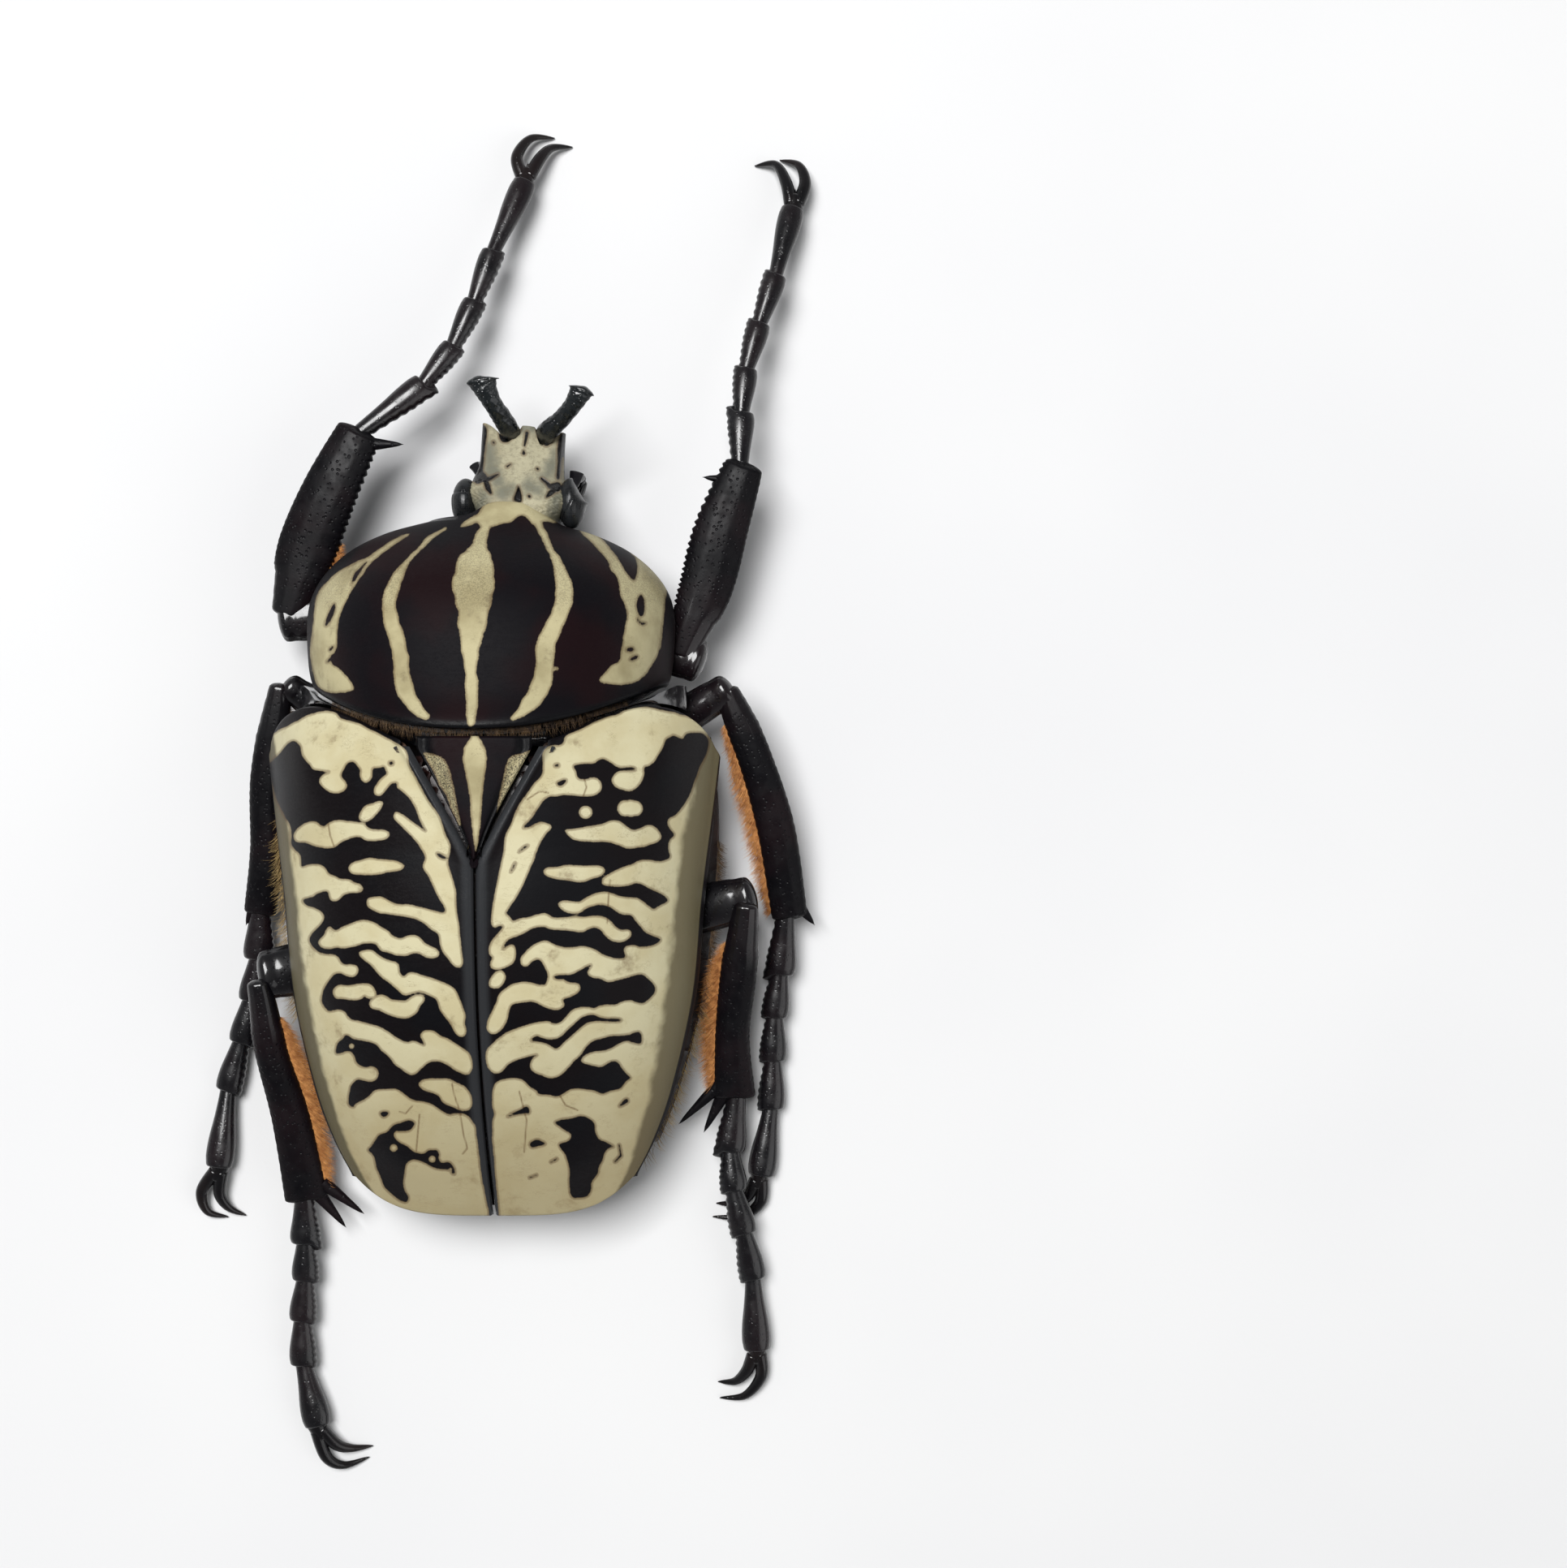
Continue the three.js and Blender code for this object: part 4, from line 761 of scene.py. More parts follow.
def build_elytron(side, name, patches, gaps, dots, lines):
    def place(u, v):
        points = rolled_edge(elytron_surface, crowded(u), v, RIM_RADIUS)
        points[:, 0] = np.maximum(points[:, 0], SUTURE_HALF) * side
        return points

    piece, u, v = shell_grid(name, ELYTRON_COLUMNS, ELYTRON_ROWS, place)
    u = crowded(u)
    pixels = photo_pixels(places_of(piece) / MM)
    store(piece, "cream", patterned(pixels, patches, gaps, dots, lines))
    cracks = np.full(len(u), FAR_OUTSIDE)
    for line in CRACKS[side]:
        cracks = np.maximum(cracks, depth_in_stroke(pixels, [(*corner, 0.5) for corner in line]))
    store(piece, "crack", cracks)
    rest = elytron_surface(u, v)
    for label, edge_u in (("margin", 0 * u + 1), ("suture", 0 * u)):
        across = (rest - elytron_surface(edge_u, v))[:, :2]
        store(piece, label, np.linalg.norm(across, axis=1))
    finish_piece(piece, wing_case, "wing_case", name, wall=SHELL_THICKNESS, lining=lining)


build_elytron(-1, "elytron_left", LEFT_CREAM, LEFT_BLACK, LEFT_DOTS, PARTING_BLACK)
build_elytron(1, "elytron_right", RIGHT_CREAM, RIGHT_BLACK, RIGHT_DOTS, RIGHT_LINES + PARTING_BLACK)

# Scutellum: the long keeled triangle wedged between the wing cases, black velvet with
# a cream lance down its middle and a thin dusty streak on each side.
SCUTELLUM_WALL = 0.9
SCUTELLUM_RIM_RADIUS = 0.3


def scutellum_surface(u, v):
    across = 2 * u - 1
    y = mix(13.3, 0.9, v)
    half = np.maximum(0.9 * (inner_edge_x(np.minimum(y, ELYTRA_FRONT_Y))) - 0.30, 0.28)
    side_groove = -0.25 * hump(np.abs(across), 0.86, 0.10)
    z = elytra_crest(y) + 0.35 * (1 - across**2) + side_groove
    return np.stack([across * half, y, z], -1)


SCUTELLUM_LANCE = [
    (585.5, 904, 3), (585, 918, 9.6), (585, 927, 13.5), (585, 935, 15), (585.3, 943, 13.8),
    (585.8, 955, 11.2), (586.5, 968, 9.5), (586.8, 980, 7.8), (586.7, 994, 6.7), (586.6, 1008, 5.8),
    (586.6, 1023, 4.2), (586.4, 1037, 2.6), (586.5, 1048, 0.8),
]
SCUTELLUM_STREAKS = [
    [
        (520, 925), (525, 935), (531, 944), (536, 955), (542, 968), (550, 981), (556, 995), (561, 1006),
        (568, 1020), (566, 1008), (564, 995), (561, 981), (558, 966), (555, 952), (551, 940), (547, 935),
        (536, 930),
    ],
    [
        (661, 923), (641, 929), (628, 932), (624, 941), (621, 954), (619, 966), (616, 978), (613, 991),
        (612, 1003), (611, 1019), (615, 1009), (621, 998), (625, 988), (630, 977), (636, 965), (641, 955),
        (648, 943), (656, 932),
    ],
]

velvet_black, tree, shader, where = new_material("velvet_black")
pattern, coat = bloomed(
    tree, where, 2.6, colour(179, 170, 134), colour(150, 140, 106), colour(92, 78, 58))
nap = noise_of(tree, where, 6500, 3, 0.7)
maroon = rising(tree, noise_of(tree, where, 110, 3), 0.40, 0.62)
black = mixed(tree, maroon, colour(11, 9, 13), colour(22, 9, 12))
black = mixed(tree, rising(tree, nap, 0.55, 0.85, 0, 0.3), black, colour(32, 27, 30))
bare = rising(tree, stored(tree, "rim"), 0.55, 1.15, 1, 0)
black = mixed(tree, bare, black, colour(13, 13, 15))
dusty = calculate(tree, "MULTIPLY", stored(tree, "dusty"), rising(tree, nap, 0.40, 0.62))
cream = mixed(tree, dusty, coat["Color"], colour(52, 48, 44))
skin = cream_on_black(tree, pattern, black, cream, 0.4)
rough = mixed(tree, pattern["Cream"], grey(0.55), grey(0.52))
rough = mixed(tree, calculate(tree, "SUBTRACT", bare, pattern["Cream"]), rough, grey(0.25))
height = calculate(tree, "ADD", nap, calculate(tree, "MULTIPLY", coat["Height"], 0.5))
feed(tree, shader, Base_Color=skin, Roughness=rough, Normal=bump_of(tree, height, 0.35, 0.05))
shader.inputs["Specular IOR Level"].default_value = 0.07

piece, u, v = shell_grid(
    "scutellum", 60, 90, lambda u, v: rolled_edge(scutellum_surface, u, v, SCUTELLUM_RIM_RADIUS))
pixels = photo_pixels(places_of(piece) / MM)
lance = depth_in_stroke(pixels, SCUTELLUM_LANCE)
streaks = patterned(pixels, SCUTELLUM_STREAKS)
store(piece, "cream", np.maximum(lance, streaks))
store(piece, "dusty", (streaks > lance) * 0.9)
store(piece, "rim", 3.0 * (1 - np.abs(2 * u - 1)))
finish_piece(piece, velvet_black, "velvet_black", "scutellum", wall=SCUTELLUM_WALL)

# Pronotum: the broad domed shield over the front of the body, black velvet with cream
# stripes; it is one hard plate with a thin glossy rim, held by the soft neck beneath.
PRONOTUM_REAR_Y = 13.9
PRONOTUM_FRONT_Y = 36.7
PRONOTUM_CORNER_Y = 18.7
PRONOTUM_SHIFT = 0.4
PRONOTUM_DOT = (685.5, 824, 2.5)
COLLAR_MIDDLE, COLLAR_HALF, COLLAR_REAR = 630, 66, 660
pronotum_crest = profile([(13.8, 28.0), (18, 28.7), (24, 28.3), (29, 26.4), (33, 22.3), (36.5, 16.9)])
pronotum_half_width = profile([
    (18.6, 18.8), (21, 19.5), (26.5, 19.7), (30, 18.5), (33, 15.5), (35, 11.4), (36.1, 7.0),
])
pronotum_margin_z = profile([(19, 9.4), (30, 9.2), (36.1, 12.4)])


def pronotum_surface(u, v):
    spread = 2 * u - 1
    across = np.sign(spread) * crowded(np.abs(spread))
    inner_y = mix(PRONOTUM_REAR_Y, PRONOTUM_FRONT_Y, v)
    outer_y = mix(PRONOTUM_CORNER_Y, PRONOTUM_FRONT_Y - 0.4, v)
    y = mix(inner_y, outer_y, np.abs(across) ** 2.2)
    arch = np.maximum(1 - np.abs(across) ** 2.5, 0) ** 0.55
    z = mix(pronotum_margin_z(outer_y), pronotum_crest(inner_y), arch)
    rear_lip = 0.3 * hump(v, 0, 0.035)
    x = across * pronotum_half_width(outer_y) - PRONOTUM_SHIFT
    neck = np.exp(-((x - 2.7) / 3.9) ** 4) * ramp(v, 0.84, 0.16) ** 2
    return np.stack([x, y + 1.45 * neck, z + rear_lip + 0.15 * neck], -1)


PRONOTUM_STRIPES = [
    [
        (600, 640, 4), (600, 648, 4), (593, 660, 7.5), (591, 670, 8.5), (589, 680, 12), (588, 690, 18),
        (585, 700, 23.5), (584.7, 710, 24), (583.3, 720, 26.5), (583, 730, 23), (583.4, 740, 22.3),
        (583.5, 750, 18.5), (582.5, 760, 17.5), (582, 768, 18), (582, 772, 13.5), (581, 780, 14.5),
        (580.3, 790, 12.7), (579.2, 800, 11.1), (580.3, 810, 9.6), (579.8, 820, 8), (580.3, 830, 6.2),
        (581, 840, 8), (581.4, 850, 7.9), (581.5, 860, 7), (581.7, 870, 6.7), (580.3, 880, 6.2),
        (580.8, 890, 4.8), (580, 897, 1),
    ],
    [
        (549, 651, 1.2), (537, 658, 2), (528, 664, 3), (519, 674, 2.2), (511, 682, 2.2),
        (504, 690, 2.5), (497, 699, 4.5), (490, 710, 6.8), (486, 720, 7.6), (482, 730, 8.8),
        (479.5, 740, 7.7), (479.5, 750, 8.5), (481, 760, 9), (483, 770, 9.3), (487, 780, 9.8),
        (489.6, 790, 9.6), (491.7, 800, 9), (494, 810, 10), (494.5, 820, 9.4), (494.6, 830, 9.6),
        (497, 840, 10.8), (499.5, 850, 11), (504, 860, 9), (510.5, 869, 8.5), (517, 877, 6.5),
        (525, 883, 4.5),
    ],
    [
        (660, 636, 4.5), (665, 650, 4.5), (671, 660, 4.5), (674.5, 670, 4), (680, 680, 3.8),
        (685.3, 690, 5.2), (689.2, 700, 7), (692.2, 710, 8.1), (694.5, 720, 10), (695.5, 730, 10.8),
        (695.3, 740, 10.5), (692, 750, 9.8), (688.8, 760, 10.2), (682.6, 770, 9.8), (679.2, 780, 11),
        (673.6, 790, 11.5), (671.8, 800, 12.4), (671.8, 810, 11.5), (671, 820, 11.2), (670, 830, 11.6),
        (668.3, 840, 12), (664, 850, 11.8), (658.5, 860, 10.5), (651, 868, 9.5), (643, 877, 6),
        (632, 885, 3),
    ],
]
PRONOTUM_PATCHES = [
    [
        (508, 656), (495, 660), (480, 667), (465, 678), (455, 686), (440, 692), (425, 699), (412, 708),
        (403, 717), (396, 725), (391, 730), (388, 745), (386, 765), (384, 785), (382, 800), (383, 815),
        (386, 830), (390, 843), (396, 850), (410, 854), (425, 853), (437, 851), (434, 842), (426, 832),
        (419, 824), (408, 818), (407, 808), (413, 803), (415, 795), (416, 780), (417, 765), (421, 752),
        (427, 740), (432, 730), (438, 720), (444, 711), (450, 702), (458, 692), (468, 684), (480, 675),
        (492, 667),
    ],
    [
        (745, 661), (760, 665), (775, 671), (790, 678), (798, 682), (806, 690), (813, 700), (819, 709),
        (822, 715), (823, 725), (820, 735), (819, 750), (818, 760), (816, 775), (815, 790), (813, 800),
        (809, 810), (803, 820), (797, 830), (788, 838), (777, 843), (762, 844), (744, 842), (738, 838),
        (740, 834), (746, 829), (753, 820), (763, 815), (765, 808), (766, 800), (768, 790), (767, 785),
        (770, 778), (771, 770), (773, 760), (772, 750), (768, 740), (763, 730), (763, 720), (760, 710),
        (752, 700), (749, 690), (740, 680), (731, 670), (720, 660), (712, 651), (716, 650), (722, 652),
        (733, 657),
    ],
    [
        (566, 650), (572, 643), (580, 638), (592, 632), (598, 615), (690, 615), (695, 640), (684, 645),
        (676, 642), (668, 642), (657, 648), (652, 640), (645, 634), (637, 637), (630, 644), (615, 646),
        (606, 650), (594, 650), (588, 643), (580, 647),
    ],
]
PRONOTUM_GAPS = [
    [
        (452, 691), (444, 698), (437, 706), (434, 715), (432, 722), (436, 718), (441, 710), (447, 701),
        (453, 693),
    ],
    [(413, 742), (408, 748), (404, 757), (400, 768), (401, 773), (406, 768), (411, 757), (414, 748)],
    [
        (735, 657), (750, 663), (763, 670), (775, 678), (783, 687), (786, 695), (785, 704), (783, 716),
        (779, 714), (775, 711), (769, 701), (763, 690), (753, 677), (742, 664),
    ],
    [(789, 731), (794, 738), (795, 750), (793, 759), (788, 760), (784, 750), (784, 740)],
    [(785, 760), (790, 767), (797, 767), (792, 771), (786, 767)],
    [(405, 800), (411, 795), (412, 798), (406, 803)], [(402, 815), (409, 808), (410, 812), (404, 817)],
    [(770, 800), (778, 797), (783, 801), (775, 804)], [(774, 812), (785, 806), (788, 810), (778, 815)],
]

pronotum, u, v = shell_grid(
    "pronotum", 190, 120, lambda u, v: rolled_edge(pronotum_surface, u, v, RIM_RADIUS))
places = places_of(pronotum) / MM
pixels = photo_pixels(places)
depth = patterned(pixels, PRONOTUM_PATCHES, PRONOTUM_GAPS, [PRONOTUM_DOT])
for stripe in PRONOTUM_STRIPES:
    depth = np.maximum(depth, depth_in_stroke(pixels, stripe))
rim = gap_to_border(pronotum_surface, u, v, places)
collar = (pixels[:, 1] < COLLAR_REAR) & (np.abs(pixels[:, 0] - COLLAR_MIDDLE) < COLLAR_HALF)
trimmed = np.minimum(depth, (rim - 0.35) * 12)
store(pronotum, "cream", np.where((rim < 0.5) & ~collar, trimmed, depth))
store(pronotum, "rim", rim + collar)
store(pronotum, "dusty", np.clip(1 - np.abs(pixels[:, 1] - 700) / 60, 0, 0.35))
finish_piece(pronotum, velvet_black, "velvet_black", "pronotum", wall=SHELL_THICKNESS)

# Prosternum: the hard underside of the front of the body, closing the pronotum from
# below, glossy black with fine punctures.
def rounded_body(name, sides, rings, place):
    """A ball whose rings and sides are moved: place(t, turn), t from end to end."""
    deselect()
    bpy.ops.mesh.primitive_uv_sphere_add(segments=sides, ring_count=rings, radius=1)
    piece = bpy.context.object
    piece.name = name
    ball = places_of(piece)
    t = np.arccos(np.clip(ball[:, 2], -1, 1)) / math.pi
    turn = np.arctan2(ball[:, 1], ball[:, 0])
    move_to(piece, place(t, turn))
    bpy.ops.object.mode_set(mode="EDIT")
    bpy.ops.mesh.select_all(action="SELECT")
    bpy.ops.mesh.normals_make_consistent(inside=False)
    bpy.ops.object.mode_set(mode="OBJECT")
    return piece, t, turn


def closing(t, share):
    """How far along a body t is, and how far its section is open there."""
    run = np.clip((t - share) / (1 - 2 * share), 0, 1)
    ends = np.clip(np.minimum(t, 1 - t) / share, 0, 1)
    return run, np.sin(ends * math.pi / 2), np.where(t < 0.5, -1, 1) * np.cos(ends * math.pi / 2)


def cuticle(name, dark, warm, glow, pit_scale, pit_depth, rough, gloss=0.5):
    """Hard black shell: pits, a warmer tint in clouds, duller where it is scuffed."""
    made, tree, shader, where = new_material(name)
    tint = rising(tree, noise_of(tree, where, 160, 3), 0.40, 0.66)
    base = mixed(tree, tint, dark, warm)
    scuffs = noise_of(tree, where, 2600, 4, 0.75)
    base = mixed(tree, rising(tree, scuffs, 0.58, 0.82, 0, 0.5), base, glow)
    cells = add_node(tree, "TexVoronoi", {"Vector": where, "Scale": pit_scale, "Randomness": 0.9})
    pits = rising(tree, cells.outputs["Distance"], 0.08, 0.34)
    base = mixed(tree, pits, dark, base)
    worn = rising(tree, noise_of(tree, where, 700, 3), 0.35, 0.7, rough * 0.8, rough * 1.3)
    height = calculate(tree, "MULTIPLY_ADD", scuffs, 0.25, pits)
    wet = calculate(tree, "MULTIPLY", stored(tree, "wet"), 0.9)
    feed(tree, shader, Base_Color=base, Roughness=worn, Coat_Weight=wet, Coat_Roughness=0.12,
         Normal=bump_of(tree, height, 0.5, pit_depth))
    shader.inputs["Specular IOR Level"].default_value = gloss
    return made


underside = cuticle(
    "underside", colour(20, 17, 18), colour(40, 24, 22), colour(62, 54, 50),
    pit_scale=2600, pit_depth=0.05, rough=0.34)


def prosternum_place(t, turn):
    run, opening, _ = closing(t, 0.12)
    side = np.cos(turn)
    inner_y = mix(PRONOTUM_REAR_Y, PRONOTUM_FRONT_Y, run)
    outer_y = mix(PRONOTUM_CORNER_Y, PRONOTUM_FRONT_Y - 0.4, run)
    top = pronotum_margin_z(outer_y) - 1.05
    bottom = mix(mix(2.2, 5.2, run), top - 0.9, np.abs(side) ** 2.2)
    bottom = bottom + 0.5 * hump(side, 0, 0.05) - 0.3 * hump(run, 0.55, 0.05)
    z = mix(bottom, top, 0.5 + 0.5 * np.clip(np.sin(turn) * 3, -1, 1))
    middle = (top + bottom) / 2
    x = side * opening * pronotum_half_width(outer_y) * 0.95
    y = mix(inner_y, outer_y, np.abs(side * opening) ** 2.2) + (1 - run) * 0.4
    return np.stack([x, y, mix(middle, z, opening)], 1)


piece, t, turn = rounded_body("prosternum", 120, 60, prosternum_place)
finish_piece(piece, underside, "underside", "prosternum")

# Mesothorax: the glossy collar between pronotum and wing cases. Its side plates stand
# proud at the shoulders, and the wing cases are hinged under its rear edge.
MESOTHORAX_HALF = 20.6


def squared(turn):
    """Depth and rise round a square section, each from -1 to 1."""
    depth, rise = np.cos(turn), np.sin(turn)
    square = np.maximum(np.abs(depth), np.abs(rise))
    return depth / square, rise / square


def pronotum_rear_y(across):
    return mix(PRONOTUM_REAR_Y, PRONOTUM_CORNER_Y, np.minimum(np.abs(across), 1.05) ** 2.2)


def mesothorax_place(t, turn):
    run, opening, _ = closing(t, 0.04)
    across = 2 * run - 1
    x = np.abs(across) * MESOTHORAX_HALF
    inner_x, outer_x = inner_edge_x(ELYTRA_FRONT_Y), elytra_half_width(SHOULDER_Y)
    base_u = np.clip((x - inner_x) / (outer_x - inner_x), 0, 1)
    base = elytron_surface(base_u, 0 * base_u)
    front = pronotum_rear_y(x / pronotum_half_width(PRONOTUM_CORNER_Y)) - 0.3
    ceiling = np.minimum(base[:, 2] - 0.7, mix(22.5, 26, base_u * 2)) - 5 * np.abs(across) ** 8
    floor_z = 3.6 + 4.6 * across**2
    plate = hump(np.abs(across), 0.80, 0.10)
    rear = base[:, 1] + 0.3
    middle_y, middle_z = (rear + front) / 2, (ceiling + floor_z) / 2
    depth, rise = squared(turn)
    y = mix(rear, front, 0.5 + 0.5 * depth)
    hollow = -0.8 * np.sin(math.pi * (0.5 + 0.5 * depth)) * (1 - plate) + 0.9 * plate * (1 - depth**2)
    z = np.where(rise >= 0, mix(middle_z, ceiling + hollow, rise), mix(middle_z, floor_z, -rise))
    return np.stack([np.sign(across) * x, mix(middle_y, y, opening), mix(middle_z, z, opening)], 1)


gloss_black = cuticle(
    "gloss_black", colour(12, 13, 16), colour(20, 18, 22), colour(38, 38, 42),
    pit_scale=1500, pit_depth=0.06, rough=0.18)
piece, t, turn = rounded_body("mesothorax", 64, 200, mesothorax_place)
store(piece, "wet", hump(np.abs(2 * t - 1), 0.8, 0.15))
finish_piece(piece, gloss_black, "gloss_black", "mesothorax")

# Thorax and abdomen: the soft body below the wing cases, armoured underneath with
# plates that overlap like tiles; it is flat where it rests on the table.
SIDE_TUCK = 0.21
BODY_DEPTH_UNDER_SHELL = 1.9
belly_z = profile([(-37, 7.4), (-30, 3.6), (-20, 0.9), (-9, -0.9), (9, -0.9), (15, 1.8)])
side_bulge = profile([(-33.6, 0.2), (-10, 1.2), (0, 1.2), (6, 0.3), (11.6, -1.2)])
belly_keel = profile([(-37, 1.0), (-20, 1.3), (-13.5, 3.0), (-9, 4.9), (15, 4.9)])


def trunk(name, front_v, rear_v, plates):
    """The body from front_v to rear_v along the wing cases, cut by grooves at plates."""
    def place(t, turn):
        run, opening, _ = closing(t, 0.10)
        v = mix(front_v, rear_v, run)
        outer_y = mix(SHOULDER_Y, REAR_CORNER_Y, v)
        half = elytra_half_width(outer_y)
        side = np.abs(np.cos(turn))
        upper = np.sin(turn) >= 0
        inner_x = inner_edge_x(mix(ELYTRA_FRONT_Y, ELYTRA_REAR_Y, v))
        u = np.clip((side * half - inner_x) / (half - inner_x), 0, 1)
        top = elytron_surface(u, v) - BODY_DEPTH_UNDER_SHELL * normal_of(elytron_surface, u, v)
        top[:, 0] = np.where(u == 0, side * half, top[:, 0])
        bend = side * (math.pi / 2 + SIDE_TUCK)
        bulge = half + side_bulge(outer_y)
        side_z = elytra_margin_z(outer_y) - 3.6
        drop = np.maximum(np.cos(bend), 0) ** belly_keel(top[:, 1])
        past_side = np.maximum(-np.cos(bend), 0) / SIDE_TUCK
        x = np.where(upper, top[:, 0], bulge * np.sin(bend) - 1.6 * past_side)
        below = mix(side_z, np.minimum(belly_z(top[:, 1]), side_z), drop) + 1.9 * past_side
        groove = sum(np.exp(-((v - cut) / 0.005) ** 2) for cut in plates) * (1 - upper) * 0.28
        z = np.where(upper, top[:, 2], np.maximum(below, 0) + groove * np.clip(below / 2, 0.1, 1))
        middle_z = (elytra_crest(top[:, 1]) + np.maximum(belly_z(top[:, 1]), 0)) / 2
        x = np.sign(np.cos(turn)) * x * opening
        return np.stack([x, top[:, 1], mix(middle_z, z, opening)], 1)

    return rounded_body(name, 180, 90, place)[0]


PARTING = (ELYTRA_FRONT_Y + 12.8) / (ELYTRA_FRONT_Y - ELYTRA_REAR_Y)
PARTING_HALF_GAP = 0.0006
for name, front_v, rear_v, plates in (
    ("thorax", 0.04, PARTING - PARTING_HALF_GAP, (0.12, 0.30)),
    ("abdomen", PARTING + PARTING_HALF_GAP, 0.90, (0.56, 0.635, 0.71, 0.785, 0.855)),
):
    finish_piece(trunk(name, front_v, rear_v, plates), underside, "underside", name)

# Pygidium: the last hard plate of the back, black with a pale patch on each side. It
# closes the abdomen below the rear of the wing cases, and is joined to it by soft skin.
def pygidium_surface(u, v):
    across = 2 * u - 1
    half = 9.5 * np.sqrt(1 - 0.75 * v**2)
    y = -35.3 - 1.6 * (1 - across**2) + 2.4 * v
    return np.stack([across * half, y, mix(9.9, 4.1, v)], -1)


def pygidium_place(t, turn):
    run, opening, _ = closing(t, 0.05)
    depth, rise = (part * opening for part in squared(turn))
    place = pygidium_surface(run, 0.5 - 0.5 * rise)
    dimple = 0.35 * hump(np.abs(2 * run - 1), 0.4, 0.25) * (1 - rise**2)
    place[:, 1] += 0.65 + 0.65 * depth - dimple
    place[:, 2] += 0.1 * depth
    return place


piece, t, turn = rounded_body("pygidium", 48, 110, pygidium_place)
PYGIDIUM_PATCH = [(30, 5, 7), (72, -5, 9)]
spread_out = np.stack([np.abs(2 * t - 1) * 100, np.sin(turn) * 40], 1)
store(piece, "cream", depth_in_stroke(spread_out, PYGIDIUM_PATCH) / 6)
store(piece, "rim", 3 * (1 - np.abs(2 * t - 1)))
store(piece, "dusty", 0 * t)
finish_piece(piece, velvet_black, "velvet_black", "pygidium")

# Head: a flat cream box turned a little to the right, with raised dark side rims, two
# hooked black marks in front of the eyes and a black triangle where it meets the neck.
HEAD_PLACE = (2.5, 36.9)
HEAD_TURN = math.radians(-7)
HEAD_LENGTH = 9.9
head_half_width = profile([(0, 4.3), (2, 5.5), (3.6, 5.2), (5.2, 4.6), (8, 4.5), (9.9, 4.5)])
head_lean = profile([(0, 0), (3, 0.05), (5.5, 0.35), (9.9, 0.65)])
head_top = profile([(0, 16.0), (2, 15.7), (5, 13.6), (8, 11.8), (9.9, 10.8)])
head_under = profile([(0, 5.2), (3, 4.6), (6, 5.6), (8, 7.6), (9.9, 8.9)])


def on_head(x, y, z):
    """Places in the head's own frame, y forwards from the neck, moved to the animal's."""
    x, y, z = (np.asarray(part, float) for part in (x, y, z))
    return np.stack([
        HEAD_PLACE[0] + x * math.cos(HEAD_TURN) - y * math.sin(HEAD_TURN),
        HEAD_PLACE[1] + x * math.sin(HEAD_TURN) + y * math.cos(HEAD_TURN), z + 0 * x], -1)


HEAD_HOOKS = [
    [(613.4, 584.5, 0.8), (607, 588, 1.4), (600, 591, 2.4), (596, 589, 4.5), (592, 584, 4)],
    [(598.7, 593, 2.4), (601, 600, 3), (604.6, 607.3, 0.8)],
    [(667.7, 589.7, 0.8), (673, 594, 1.6), (678, 599, 2.6), (686, 600, 5.5)],
    [(683, 603, 3.5), (678, 608, 2.4), (674, 612, 0.8)],
    [(649.3, 534, 1.6), (647.5, 544, 1.2), (646.4, 549, 0.5)], [(645.4, 556, 0.8), (645.4, 558.5, 1.6)],
    [(608, 545, 1), (608.4, 545.5, 1)], [(613, 635.6, 1.2), (613.4, 636, 1.2)],
    [(652, 611.5, 1.2), (652.4, 612, 1.2)], [(625, 575, 0.6), (629, 572, 0.3)],
    [(662, 577.5, 0.8), (663, 578, 0.8)],
]
HEAD_TRIANGLE = [
    (639, 596), (636, 606), (632.4, 614.6), (634, 618), (642.7, 619.5), (643.6, 613), (641, 604),
]
HEAD_SIDE_RIMS = [
    [(580, 522), (598, 522), (601, 534), (598, 548), (596.5, 566), (595, 580), (597, 592), (588, 598),
     (580, 590), (580, 560)],
    [(688, 541), (693, 533), (702, 530), (702, 548), (699.5, 563), (696, 566), (693, 562), (691.5, 572),
     (691, 584), (689, 592), (685, 590), (686, 578), (687, 566), (686.5, 552)],
]
HORN_ROOTS = [
    [(614, 530), (634, 518), (643, 528), (639, 534), (631, 541), (625, 546), (616, 544)],
    [(661, 522), (690, 518), (687, 536), (678, 548), (673, 551), (666, 545), (661, 534)],
]
HEAD_GREY = [
    [(603, 552, 9), (604, 574, 12), (613, 592, 9)], [(683, 556, 6), (679, 574, 11), (671, 592, 9)],
    [(652, 600, 11), (664, 606, 9)], [(630, 600, 8), (619, 606, 9)], [(594, 612, 10), (590, 630, 9)],
    [(686, 614, 7), (682, 634, 10)], [(640, 526, 8), (662, 526, 8)],
]


